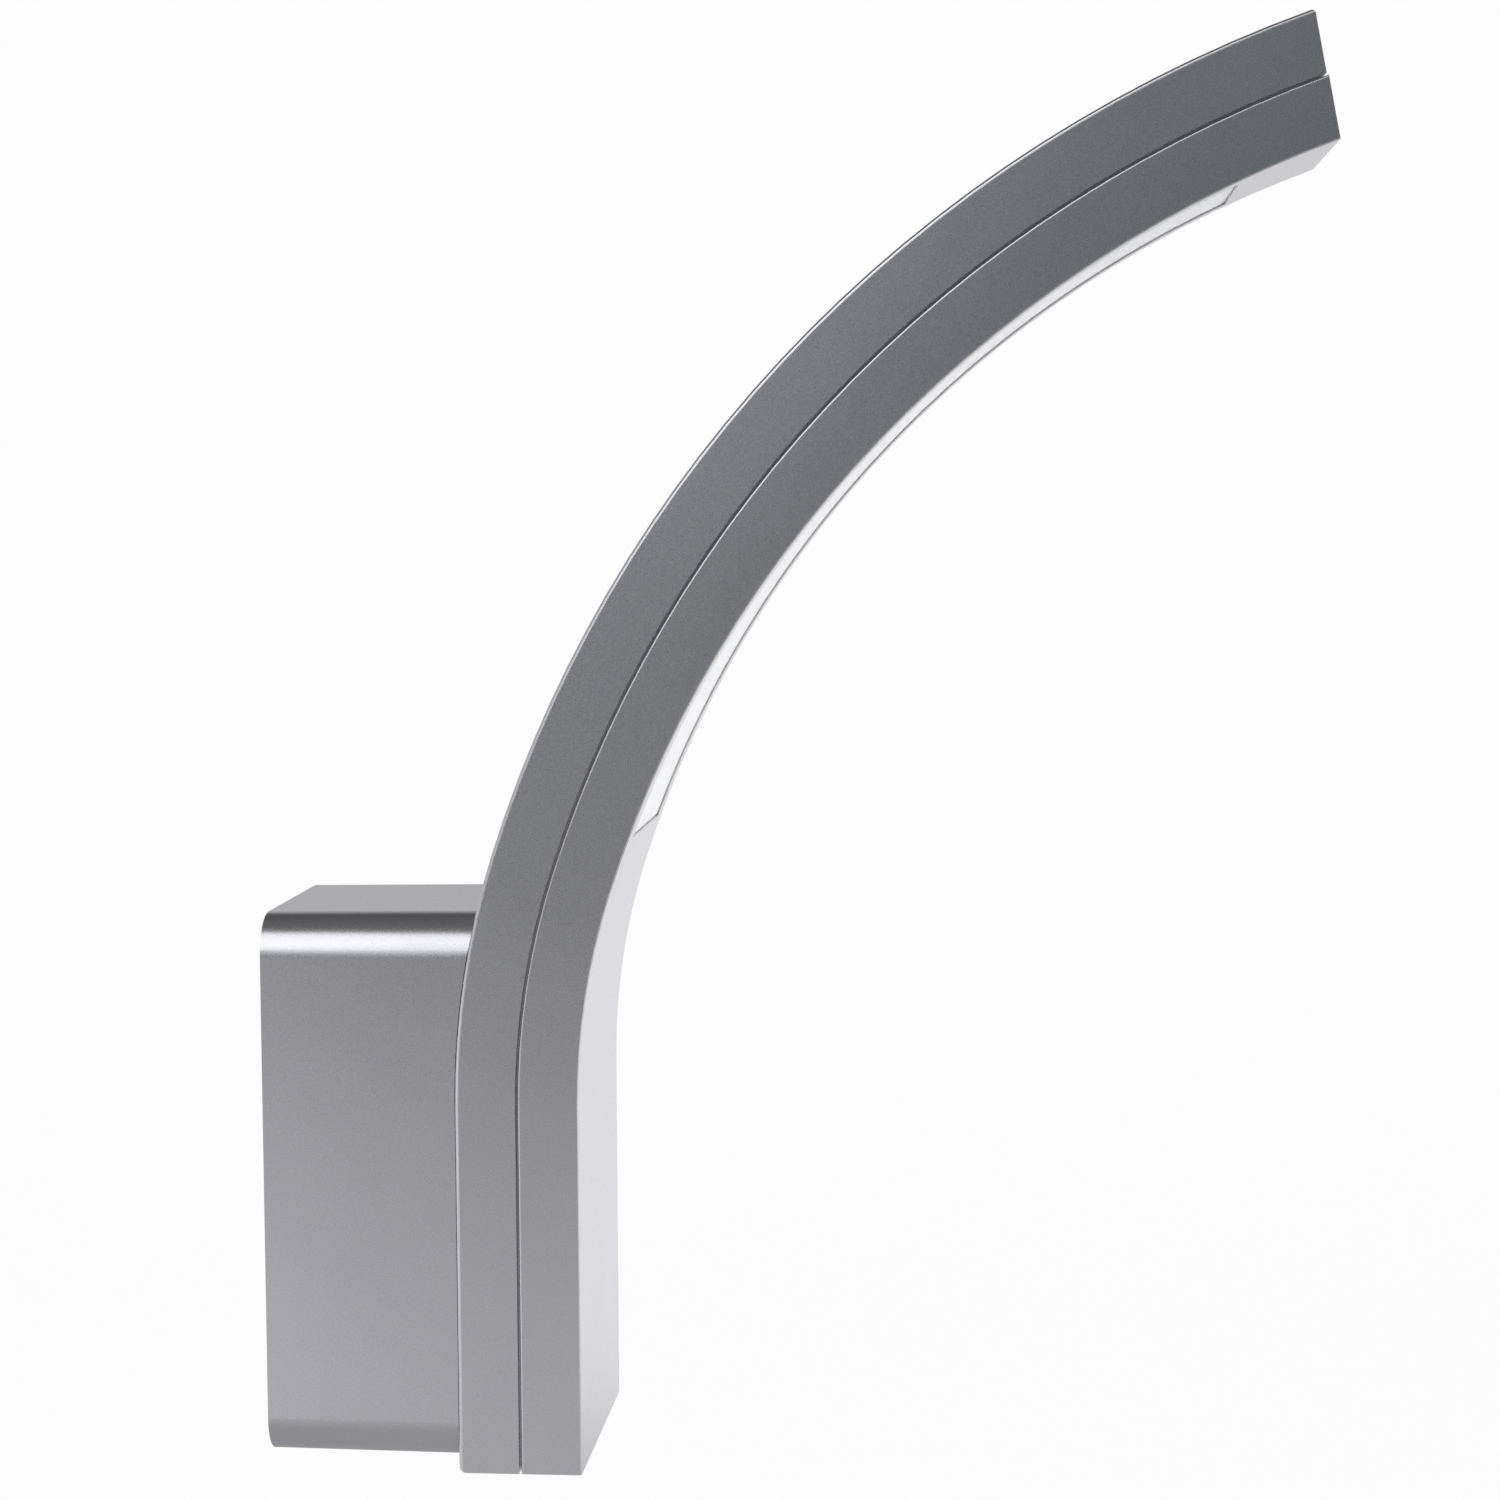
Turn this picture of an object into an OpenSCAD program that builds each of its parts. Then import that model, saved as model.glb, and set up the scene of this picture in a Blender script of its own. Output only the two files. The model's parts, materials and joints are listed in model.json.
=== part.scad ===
// Wall light with a rigid swan-neck arm and a curved light strip.
// The origin lies on the wall, half way between the two wall screws.
// +X points away from the wall, +Z points up, and the light is symmetric about Y = 0.

/* [Arm] */
// Width of the arm from side face to side face
arm_w = 68; // [64:0.5:76]
// Thickness of the arm, both shells together
arm_t = 28; // [27:0.5:32]
// Height of the straight foot of the arm
straight_h = 84; // [80:1:96]
// Radius of the lower bend at the seam
lower_bend_r = 170; // [160:1:200]
// Angle of the lower bend
lower_bend_angle = 18; // [17:0.5:19]
// Radius of the upper bend at the seam
upper_bend_r = 272.5; // [262:0.5:300]
// Angle of the upper bend
upper_bend_angle = 52.7; // [50:0.1:56]
// Angle by which the tip is cut off square
tip_cut_angle = 8.5; // [0:0.5:11]
// Length by which the front shell stands past the rear shell at the tip
tip_lip = 0.4; // [0:0.1:0.8]
// Wall of the two arm shells
shell_wall = 3; // [2.6:0.1:3.2]
// Radius of the edges along the back of the arm
rear_edge_r = 0.9; // [0.3:0.1:1.2]
// Radius of the corner at the foot of the back
foot_corner_r = 1.8; // [1:0.1:2.5]
// Size of the corner taken off the back of the tip
tip_corner = 0.7; // [0.3:0.1:1.2]
// Radius of the edges along the hollow face
front_edge_r = 0.4; // [0.2:0.1:0.6]
// Radius of the front shell's edges at the seam
seam_edge_r = 0.5; // [0.2:0.1:0.7]
// Width of the shadow gap between the two shells
seam_gap = 0.5; // [0.3:0.1:0.8]
// Height of the lip that aligns the shells inside the seam
seam_lip_h = 2; // [1.5:0.1:2.5]
// Thickness of that lip
seam_lip_t = 1.4; // [1.2:0.1:1.5]

/* [Light strip] */
// Width of the rim at each side of the window
window_rim = 9; // [8:0.5:11]
// Distance along the seam from the end of the lower bend to the window
window_start = 13; // [13:0.5:18]
// Distance along the seam from the window to the tip
window_tip_margin = 25.6; // [25:0.1:32]
// Depth of the opal face below the rim
diffuser_recess = 0.4; // [0.2:0.1:0.8]
// Thickness of the diffuser's flange
diffuser_flange_t = 2; // [1.6:0.1:2.4]
// Width of the flange behind each side of the window
diffuser_flange_w = 2.5; // [2:0.1:3]
// Distance between neighbouring light emitting diodes
chip_pitch = 9; // [8:0.5:14]

/* [Wall box] */
// Step from each side face of the arm in to the box
box_side_step = 0.5; // [0:0.1:1]
// Height of the box where it meets the arm
box_h = 125; // [124:1:132]
// Depth of the box from the wall to the straight back of the arm
box_d = 44; // [44:0.5:56]
// Wall of the box
box_wall = 3; // [2.5:0.1:3.2]
// Radius of the four long edges at the arm
box_corner_r = 9.5; // [8.5:0.5:11]
// Length by which each side draws in towards the wall
box_draft = 0.45; // [0.2:0.05:0.8]
// Height by which the foot of the arm hangs below the box
foot_drop = 2; // [1:0.5:4]

/* [Wall bracket] */
// Distance between the centres of the two wall screw slots
wall_screw_spacing = 60; // [56:1:60]
// Width of a wall screw slot
slot_w = 5; // [4.5:0.1:5.5]
// Length of a wall screw slot from end to end
slot_l = 10; // [8:0.5:10]
// Diameter of the hole for the supply cable
cable_hole_d = 20; // [16:0.5:22]
// Thickness of the bracket's sheet
bracket_t = 2; // [1.5:0.1:2.2]
// Gap between the bracket and the box at each side
bracket_side_gap = 4; // [3:0.1:5]

/* [Power supply] */
// Gap between the top of the box and the power supply's case
driver_top_gap = 24.5; // [22:0.5:30]
// Gap between the case and each side of the box's cavity
driver_side_gap = 9; // [8:0.5:12]
// Depth of the case with its cover
driver_t = 22; // [20:0.5:23]
// Wall of the case
driver_wall = 1.6; // [1.2:0.1:1.8]

/* [Hidden] */
$fn = 64;
// Steps of a whole turn on the large bends
sweep_fn = 180;
// Steps of a round corner of a swept profile
edge_steps = 6;
// Coarse steps in a millimetre when a sweep is moved to its place
coarse_steps = 100;
// One overrun serves all cuts
cut = 1;
// Clearance between pieces that slip into each other
slip = 0.15;
// Clearance of a screw in the thread drawn as a plain bore
thread_slip = 0.05;
// Clearance of a screw in a through hole
hole_slip = 0.4;
// Clearance between curved faces that lie on each other
curve_slip = 0.1;
// Clearance between the box and the curved back of the arm
box_fit = 0.02;
// Depth of a blind hole past the tip of its screw
blind_run = 0.4;

// Screw sizes: diameter, head diameter, head height, recess depth
m3_d = 3;
m3_head_d = 5.6;
m3_head_h = 1.8;
m3_csk_d = 6;
m4_d = 4;
m4_head_d = 7;
m4_head_h = 3;
m4_csk_d = 8;
// Depth of a screw's drive recess and width across its flats
recess_h = 1.1;
m3_recess_w = 2;
m4_recess_w = 2.5;
// Depth of a countersunk head below the face around it
head_sink = 0.2;
// Washer under a pan head
washer_t = 0.8;
washer_d = 9;

// Width of the box where it meets the arm
box_w = arm_w - 2 * box_side_step;
// Places of the arm's curves in the side view, at the seam
seam_x = box_d + arm_t / 2;
foot_z = -box_h / 2 - foot_drop;
bend_z = foot_z + straight_h;
lower_bend_len = lower_bend_r * lower_bend_angle * PI / 180;
upper_bend_len = upper_bend_r * upper_bend_angle * PI / 180;
upper_bend_s = straight_h + lower_bend_len;
arm_len = upper_bend_s + upper_bend_len;
lower_centre_x = seam_x + lower_bend_r;
upper_centre_x = lower_centre_x - (lower_bend_r - upper_bend_r) * cos(lower_bend_angle);
upper_centre_z = bend_z + (lower_bend_r - upper_bend_r) * sin(lower_bend_angle);
tip_angle = lower_bend_angle + upper_bend_angle;
// Angle by which a swept body runs past the tip before the tip is cut
tip_spare_angle = 2;
// Offsets from the seam: negative is towards the wall side, as local X is
back_face = -arm_t / 2;
back_inside = back_face + shell_wall;
front_face = arm_t / 2;
front_inside = front_face - shell_wall;
inner_half_w = arm_w / 2 - shell_wall;

// Window and light engine
window_s0 = upper_bend_s + window_start;
window_s1 = arm_len - window_tip_margin;
window_half_w = arm_w / 2 - window_rim;
diffuser_end_lap = 3;
rib_h = 3;
rib_w = 3;
rib_run = 5;
carrier_t = 1.5;
carrier_side_gap = 5;
carrier_half_w = inner_half_w - carrier_side_gap;
board_t = 1;
board_side_step = 2;
board_half_w = carrier_half_w - board_side_step;
chip_l = 3.5;
chip_w = 2.8;
chip_h = 0.8;
chip_row_share = 0.375;
chip_row_y = chip_row_share * board_half_w;
board_screw_inset = 5;
board_screw_y = board_half_w - board_screw_inset;
board_screw_margin = 12;
board_screw_l = 7;
board_screw_stations = 3;
board_boss_d = 8;
rib_top = back_inside + rib_h;
carrier_top = rib_top + curve_slip + carrier_t;
board_top = carrier_top + curve_slip + board_t;
// Flat pieces stand just off the curved board
chip_seat = board_top + curve_slip / 2;
connector_l = 7;
connector_w = 8;
connector_h = 4;
connector_margin = 1;

// Bars that hold the ends of the diffuser
clamp_l = 11;
clamp_t = 1.5;
clamp_screw_inset = 4;
clamp_side_gap = 0.75;
clamp_screw_l = 5;
clamp_boss_d = 5.5;
clamp_back = 0.5;
clamp_screw_d = 2.5;
clamp_head_d = 4.4;
clamp_head_h = 1.5;
clamp_recess_w = 1.5;
clamp_seat = front_inside - diffuser_flange_t - curve_slip - clamp_t;

// Screws between the shells
shell_screw_side_gap = 5.5;
shell_screw_y = inner_half_w - shell_screw_side_gap;
shell_screw_l = 20;
shell_pillar_d = 7.5;
foot_screw_s = 10;
neck_screw_gap = 5.4;
neck_screw_s = arm_s(box_h / 2) + neck_screw_gap;
tip_screw_margin = 11;
shell_screw_s = [foot_screw_s, neck_screw_s, arm_len - tip_screw_margin];
// The bars lie between the screws at the tip
clamp_w = 2 * (shell_screw_y - shell_pillar_d / 2 - clamp_side_gap);
clamp_screw_y = clamp_w / 2 - clamp_screw_inset;

// Screws between box and arm
arm_screw_inset = 13;
arm_screw_y = inner_half_w - arm_screw_inset;
arm_screw_low = 17.5;
arm_screw_drop = 8;
arm_screw_z = [-box_h / 2 + arm_screw_low, bend_z - arm_screw_drop];
arm_screw_l = 12;
arm_screw_reach = arm_screw_l - box_wall - washer_t;
arm_pillar_d = 9;
arm_pillar_l = 9;

// Cable grommet between box and arm, square to the back of the arm below the top of the box
grommet_drop = 14.2;
grommet_s = arm_s(box_h / 2 - grommet_drop);
grommet_hole_d = 9;
grommet_bore_d = 6;
grommet_flange_d = 13;
grommet_flange_t = 1.2;

// Bracket details
bracket_slip = 0.25;
bend_r = 1;
bracket_corner_r = 5.5;
hook_w = 28;
hook_drop = 9;
hook_gap = 7;
hook_lip_h = 5;
hook_rib_t = 3;
ear_l = 14;
ear_step = 1;
locking_screw_x = 8.5;
locking_screw_inset = 6;
locking_screw_l = 10;
nut_d = 7;
nut_h = 3;
peg_d = 3;

// Cavity of the box at the wall, which the bracket fits
cavity_half_h = box_h / 2 - box_draft - box_wall;
cavity_half_w = box_w / 2 - box_draft - box_wall;
bracket_w = 2 * (cavity_half_w - bracket_side_gap);
ear_w = bracket_w - 2 * ear_step;
locking_screw_y = ear_w / 2 - locking_screw_inset;
ear_z = -cavity_half_h + bracket_slip;
hook_z = cavity_half_h - hook_drop;
hook_rib_x = bracket_t + (hook_gap - hook_rib_t) / 2;

// Power supply places
driver_gap = 6.5;
driver_low = 40.5;
driver_l = box_h - driver_low - driver_top_gap;
driver_w = 2 * (cavity_half_w - driver_side_gap);
driver_front = box_d - box_wall - driver_gap;
driver_back = driver_front - driver_t;
driver_z0 = -box_h / 2 + driver_low;
driver_z1 = driver_z0 + driver_l;
driver_lid_t = 1.6;
driver_ear_l = 8;
driver_ear_w = 9;
driver_ear_t = 3;
driver_ear_y = 13;
driver_boss_d = 7;
driver_screw_l = 9;
driver_board_t = 1.6;
driver_board_lift = 3;
driver_ledge_w = 1.5;
driver_lid_lip = 1.5;
driver_lead_in = 9;
driver_lead_x = driver_back + driver_lid_t + driver_lead_in;
transformer_l_share = 0.33;
transformer_l = transformer_l_share * driver_l;
transformer_w = 18;
transformer_h = 13;
bobbin_l_share = 0.22;
bobbin_l = bobbin_l_share * driver_l;
bobbin_w = 22;
bobbin_h = 10;
capacitor_d = 10;
capacitor_l = 12;
capacitor_z_share = [0.2, 0.8];
capacitor_inset = 12;
capacitor_y = driver_w / 2 - capacitor_inset;

// Terminal block places
pole_pitch = 6;
pole_count = 3;
block_w = 16;
block_h = 13;
block_slip = 0.3;
block_axis_lift = 5.5;
block_axis_x = bracket_t + block_axis_lift;
block_end_wall = 3;
block_l = pole_pitch * (pole_count - 1) + 2 * block_end_wall;
block_gap = 2.4;
block_z = ear_z + bracket_t + block_gap + block_l / 2;
pole_z = [for (i = [0:pole_count - 1]) block_z + (i - (pole_count - 1) / 2) * pole_pitch];
tube_d = 4.6;
tube_bore_d = 3;
tube_l = 12;
terminal_screw_d = 2.5;
terminal_screw_y = 3.4;
terminal_well_d = 3.4;
terminal_screw_l = 5;
terminal_tip_gap = 0.6;
terminal_recess_w = 1.4;
block_step_h = 3;
block_step_w = 2.5;

// Earth point
earth_inset = 5.5;
earth_y = cavity_half_w - earth_inset;
earth_low = 10.5;
earth_z = -box_h / 2 + earth_low;
earth_boss_d = 8;
earth_boss_h = 5;
earth_screw_l = 8;
ring_t = 0.8;
ring_d = 8;
barrel_l = 6;
barrel_d = 3.6;
barrel_reach = 5.5;

// Leads
mains_lead_d = 2.2;
mains_lead_pitch = 4.4;
dc_lead_d = 1.8;
dc_lead_y = 1.4;
lead_sides = 8;
lead_steps = 9;
lead_insert = 3;
// Rough direction that the first side of a lead's outline faces
lead_side_hint = [0.1, 1, 0.2];

// Colours
silver = [0.66, 0.66, 0.69];
opal = [0.93, 0.93, 0.92];
steel = [0.75, 0.76, 0.78];
zinc = [0.8, 0.8, 0.76];

// Direction of the arm at a length s along the seam from the foot, from upright
function arm_angle(s) =
    s < straight_h ? 0
    : s < upper_bend_s ? (s - straight_h) / lower_bend_r * 180 / PI
    : lower_bend_angle + (s - upper_bend_s) / upper_bend_r * 180 / PI;

// Length along the arm at which its back reaches a height z beside the box
function arm_s(z) =
    z < bend_z ? z - foot_z
    : straight_h + lower_bend_r * asin((z - bend_z) / (lower_bend_r + arm_t / 2)) * PI / 180;

// Point at a length s along the arm, moved off the seam towards the hollow face
function arm_point(s, off, y = 0) =
    let (a = arm_angle(s))
    s < straight_h ? [seam_x + off, y, foot_z + s]
    : s < upper_bend_s
        ? [lower_centre_x - (lower_bend_r - off) * cos(a), y, bend_z + (lower_bend_r - off) * sin(a)]
    : [upper_centre_x - (upper_bend_r - off) * cos(a), y,
       upper_centre_z + (upper_bend_r - off) * sin(a)];

// Distance from the wall to the back of the arm at a height z beside the box
function back_x(z) =
    z < bend_z ? box_d
    : lower_centre_x - sqrt(pow(lower_bend_r + arm_t / 2, 2) - pow(z - bend_z, 2));

// Puts its children on the arm: local X points to the hollow face and Z along the arm
module at_arm(s, off = 0, y = 0) {
    translate(arm_point(s, off, y)) rotate([0, arm_angle(s), 0]) children();
}

// Turns a cylinder drawn along Z so that it lies along X
module along_x() {
    rotate([0, 90, 0]) children();
}

// Turns a cylinder drawn along Z so that it lies along Y
module along_y() {
    rotate([-90, 0, 0]) children();
}

// Moves its children in a coarse and a fine step, so that neither needs many digits
// and neighbouring sweeps meet exactly
module fine_translate(v) {
    coarse = [for (c = v) round(c * coarse_steps) / coarse_steps];
    translate(coarse) translate(v - coarse) children();
}

// Revolves a profile about a bend's centre, from one angle of the arm to another
module bend_sweep(centre_x, centre_z, from_angle, to_angle, r) {
    fine_translate([centre_x, 0, centre_z])
        rotate([90, 0, 0])
            rotate_extrude(angle = to_angle - from_angle, start = 180 - to_angle, $fn = sweep_fn)
                translate([r, 0]) mirror([1, 0]) children();
}

// Everything past the tip, less a trim that moves the cut back along the arm
module past_tip(trim) {
    translate(arm_point(arm_len, 0))
        rotate([0, tip_angle + tip_cut_angle, 0])
            translate([-arm_t, -arm_w, -trim])
                cube([2 * arm_t, 2 * arm_w, 2 * arm_t]);
}

// Sweeps a profile along the whole arm, trimmed at foot and tip.
// The profile's x is the offset from the seam and its y runs across the arm.
module arm_sweep(foot_trim, tip_trim) {
    translate([seam_x, 0, foot_z + foot_trim])
        linear_extrude(height = straight_h - foot_trim) children();
    bend_sweep(lower_centre_x, bend_z, 0, lower_bend_angle, lower_bend_r) children();
    difference() {
        bend_sweep(upper_centre_x, upper_centre_z, lower_bend_angle,
                   tip_angle + tip_spare_angle, upper_bend_r) children();
        past_tip(tip_trim);
    }
}

// Sweeps a profile along the upper bend between two lengths of the seam
module upper_sweep(s0, s1) {
    bend_sweep(upper_centre_x, upper_centre_z, arm_angle(s0), arm_angle(s1), upper_bend_r)
        children();
}

// Points of a round corner of a profile
function arc_points(x, y, r, from_angle, to_angle) =
    [for (i = [0:edge_steps])
        let (a = from_angle + (to_angle - from_angle) * i / edge_steps)
        [x + r * cos(a), y + r * sin(a)]];

// Flat band of the profile plane between two offsets, centred across the arm
module band(off0, off1, half_w) {
    translate([off0, -half_w]) square([off1 - off0, 2 * half_w]);
}

// Screw along +Z from its seat at the origin, with a flat round head below it
module pan_screw(d, length, head_d, head_h, recess_w) {
    difference() {
        union() {
            cylinder(d = d, h = length);
            translate([0, 0, -head_h]) cylinder(d = head_d, h = head_h);
        }
        translate([0, 0, -head_h - cut]) cylinder(d = recess_w, h = recess_h + cut, $fn = 6);
    }
}

// Countersunk screw along +Z whose head is flush with the origin
module csk_screw(d, length, head_d, recess_w) {
    difference() {
        union() {
            cylinder(d = d, h = length);
            cylinder(d1 = head_d, d2 = d, h = (head_d - d) / 2);
        }
        translate([0, 0, -cut]) cylinder(d = recess_w, h = recess_h + cut, $fn = 6);
    }
}

// Hole for a countersunk screw along +Z, through to a length
module csk_hole(d, length, head_d) {
    hole_r = (d + hole_slip) / 2;
    rim_r = (head_d + hole_slip) / 2;
    rotate_extrude()
        polygon([
            [0, -cut], [rim_r, -cut], [rim_r, 0], [hole_r, rim_r - hole_r], [hole_r, length], [0, length]
        ]);
}

// Point on a cubic curve through p[0] and p[3]
function curve_point(p, t) =
    pow(1 - t, 3) * p[0] + 3 * t * pow(1 - t, 2) * p[1] + 3 * t * t * (1 - t) * p[2] + pow(t, 3) * p[3];

// Points of that curve, without the first where it follows on
function curve_points(p, first = 0) =
    [for (i = [first:lead_steps]) curve_point(p, i / lead_steps)];

function unit(v) = v / norm(v);

// Direction of a path at one of its points
function path_dir(path, i) =
    unit(path[min(i + 1, len(path) - 1)] - path[max(i - 1, 0)]);

// A side direction carried along the path so that the tube doesn't twist
function path_sides(path) =
    let (first = unit(cross(path_dir(path, 0), lead_side_hint)))
    [for (i = 0, side = first; i < len(path);
          i = i + 1,
          side = i < len(path) ? unit(side - (side * path_dir(path, i)) * path_dir(path, i)) : side)
        side];

// Insulated lead of one diameter along a path
module lead_tube(path, d) {
    sides = path_sides(path);
    rings = len(path);
    points = [
        for (i = [0:rings - 1])
            let (up = cross(path_dir(path, i), sides[i]))
            for (k = [0:lead_sides - 1])
                path[i] + d / 2 * (cos(360 * k / lead_sides) * sides[i]
                                   + sin(360 * k / lead_sides) * up)
    ];
    walls = [
        for (i = [0:rings - 2], k = [0:lead_sides - 1])
            let (a = i * lead_sides + k, b = i * lead_sides + (k + 1) % lead_sides)
            each [[a, a + lead_sides, b], [b, a + lead_sides, b + lead_sides]]
    ];
    start_cap = [for (k = [1:lead_sides - 2]) [0, k, k + 1]];
    last = (rings - 1) * lead_sides;
    end_cap = [for (k = [1:lead_sides - 2]) [last, last + k + 1, last + k]];
    polyhedron(points = points, faces = concat(walls, start_cap, end_cap));
}

// Wall box

// Solid with rounded long edges whose sides draw in towards the wall.
// inset moves every side inwards, and the solid runs from x0 to x1.
module drafted_block(inset, x0, x1) {
    slope = box_draft / box_d;
    grow0 = slope * (x0 - box_d) - inset;
    grow1 = slope * (x1 - box_d) - inset;
    core_w = box_w / 2 - box_corner_r;
    core_h = box_h / 2 - box_corner_r;
    rotate([90, 0, 0])
        linear_extrude(height = 2 * core_w, center = true)
            polygon([
                [x0, -box_h / 2 - grow0], [x1, -box_h / 2 - grow1],
                [x1, box_h / 2 + grow1], [x0, box_h / 2 + grow0]
            ]);
    linear_extrude(height = 2 * core_h, center = true)
        polygon([
            [x0, -box_w / 2 - grow0], [x1, -box_w / 2 - grow1],
            [x1, box_w / 2 + grow1], [x0, box_w / 2 + grow0]
        ]);
    for (y = [-core_w, core_w], z = [-core_h, core_h])
        translate([x0, y, z]) along_x()
            cylinder(r1 = box_corner_r + grow0, r2 = box_corner_r + grow1, h = x1 - x0);
}

// Everything in front of the back of the arm, moved towards the wall by grow.
// curve_gap moves the curved stretch alone.
module arm_back(grow, curve_gap = 0) {
    translate([box_d - grow, -arm_w, foot_z - arm_t])
        cube([2 * arm_t, 2 * arm_w, straight_h + arm_t]);
    translate([lower_centre_x, -arm_w, bend_z]) along_y()
        cylinder(r = lower_bend_r + arm_t / 2 + grow + curve_gap, h = 2 * arm_w, $fn = sweep_fn);
}

module wall_box() {
    // The box ends where its top meets the curved back of the arm
    contour_x = back_x(box_h / 2) + cut;
    color(silver) difference() {
        union() {
            difference() {
                drafted_block(0, 0, contour_x);
                arm_back(0, box_fit);
                difference() {
                    drafted_block(box_wall, -cut, contour_x);
                    arm_back(box_wall);
                }
            }
            hook_rib();
            driver_bosses();
            earth_boss();
        }
        for (y = [-arm_screw_y, arm_screw_y], z = arm_screw_z)
            translate([box_d - box_wall - cut, y, z]) along_x()
                cylinder(d = m4_d + hole_slip, h = box_wall + 2 * cut);
        at_arm(grommet_s, back_face - box_wall - cut) along_x()
            cylinder(d = grommet_hole_d, h = box_wall + 2 * cut);
        for (y = [-locking_screw_y, locking_screw_y])
            translate([locking_screw_x, y, -box_h / 2 + box_draft + head_sink])
                csk_hole(m4_d, 2 * box_wall, m4_csk_d);
        for (place = driver_screw_places())
            translate([driver_front, place[0], place[1]]) along_x()
                cylinder(d = m3_d + 2 * thread_slip, h = driver_screw_l - driver_ear_t + blind_run);
        translate([box_d - box_wall - earth_boss_h, earth_y, earth_z]) along_x()
            cylinder(d = m4_d + 2 * thread_slip, h = earth_boss_h + box_wall / 2);
    }
}

// Rib under the top wall that drops behind the bracket's hook
module hook_rib() {
    translate([hook_rib_x, -hook_w / 2, hook_z + bracket_t])
        cube([hook_rib_t, hook_w, cavity_half_h + box_wall / 2 - hook_z - bracket_t]);
}

function driver_screw_places() = [
    [-driver_ear_y, driver_z0 - driver_ear_l / 2],
    [driver_ear_y, driver_z1 + driver_ear_l / 2]
];

// Bosses on the inside of the front wall that carry the power supply
module driver_bosses() {
    for (place = driver_screw_places())
        translate([driver_front, place[0], place[1]]) along_x()
            cylinder(d = driver_boss_d, h = back_x(place[1]) - box_wall / 2 - driver_front);
}

module earth_boss() {
    translate([box_d - box_wall - earth_boss_h, earth_y, earth_z]) along_x()
        cylinder(d = earth_boss_d, h = earth_boss_h + box_wall / 2);
}

// Arm shells

module rear_outline() {
    x = back_face + rear_edge_r;
    y = arm_w / 2 - rear_edge_r;
    polygon(concat(
        arc_points(x, y, rear_edge_r, 90, 180),
        arc_points(x, -y, rear_edge_r, 180, 270),
        [[-seam_gap / 2, -arm_w / 2], [-seam_gap / 2, arm_w / 2]]
    ));
}

module front_outline() {
    x = front_face - front_edge_r;
    y = arm_w / 2 - front_edge_r;
    seam_x0 = seam_gap / 2 + seam_edge_r;
    seam_y = arm_w / 2 - seam_edge_r;
    polygon(concat(
        arc_points(x, -y, front_edge_r, -90, 0),
        arc_points(x, y, front_edge_r, 0, 90),
        arc_points(seam_x0, seam_y, seam_edge_r, 90, 180),
        arc_points(seam_x0, -seam_y, seam_edge_r, 180, 270)
    ));
}

// Corner that is taken away at the foot of the back
module foot_corner() {
    translate([seam_x + back_face, 0, foot_z]) difference() {
        translate([-cut, -arm_w, -cut])
            cube([foot_corner_r + cut, 2 * arm_w, foot_corner_r + cut]);
        translate([foot_corner_r, -arm_w - cut, foot_corner_r]) along_y()
            cylinder(r = foot_corner_r, h = 2 * arm_w + 2 * cut);
    }
}

// Corner that is taken away at the back of the tip
module tip_corner_cut() {
    radius = upper_bend_r + arm_t / 2;
    to_back = sqrt(pow(radius, 2) - pow(upper_bend_r * sin(tip_cut_angle), 2))
        - upper_bend_r * cos(tip_cut_angle);
    translate(arm_point(arm_len, 0))
        rotate([0, tip_angle + tip_cut_angle, 0])
            translate([-to_back, 0, 0]) rotate([0, -45, 0])
                translate([-arm_t, -arm_w, -tip_corner * sin(45)])
                    cube([2 * arm_t, 2 * arm_w, arm_t]);
}

// Places across and along the arm of the screws that join the shells
module at_shell_screws(off) {
    for (s = shell_screw_s, y = [-shell_screw_y, shell_screw_y])
        at_arm(s, off, y) along_x() children();
}

// Places of the screws that hold board and carrier
module at_board_screws(off) {
    first = window_s0 + board_screw_margin;
    step = (window_s1 - window_s0 - 2 * board_screw_margin) / (board_screw_stations - 1);
    for (i = [0:board_screw_stations - 1], y = [-board_screw_y, board_screw_y])
        at_arm(first + i * step, off, y) along_x() children();
}

module arm_rear_shell() {
    color(silver) difference() {
        union() {
            difference() {
                arm_sweep(0, 0) rear_outline();
                arm_sweep(shell_wall, shell_wall) band(back_inside, arm_t, inner_half_w);
                arm_sweep(shell_wall - seam_lip_t - slip, shell_wall - seam_lip_t - slip)
                    band(-seam_lip_h, arm_t, inner_half_w + seam_lip_t + slip);
                foot_corner();
                tip_corner_cut();
            }
            upper_sweep(window_s0 - rib_run, window_s1 + rib_run)
                for (y = [-board_screw_y, 0, board_screw_y])
                    translate([0, y]) band(back_inside - shell_wall / 2, rib_top, rib_w / 2);
            at_board_screws(back_inside - shell_wall / 2)
                cylinder(d = board_boss_d, h = rib_h + shell_wall / 2);
            at_shell_screws(back_inside - shell_wall / 2)
                cylinder(d = shell_pillar_d, h = -back_inside + shell_wall / 2);
            for (y = [-arm_screw_y, arm_screw_y], z = arm_screw_z)
                translate([box_d + shell_wall / 2, y, z]) along_x()
                    cylinder(d = arm_pillar_d, h = arm_pillar_l - shell_wall / 2);
        }
        at_shell_screws(back_face + head_sink) csk_hole(m3_d, arm_t / 2, m3_csk_d);
        at_board_screws(chip_seat - board_screw_l - blind_run)
            cylinder(d = m3_d + 2 * thread_slip, h = board_screw_l + blind_run);
        for (y = [-arm_screw_y, arm_screw_y], z = arm_screw_z)
            translate([box_d - cut, y, z]) along_x()
                cylinder(d = m4_d + 2 * thread_slip, h = arm_screw_reach + blind_run + cut);
        at_arm(grommet_s, back_face - cut) along_x()
            cylinder(d = grommet_hole_d, h = shell_wall + 2 * cut);
    }
}

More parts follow.
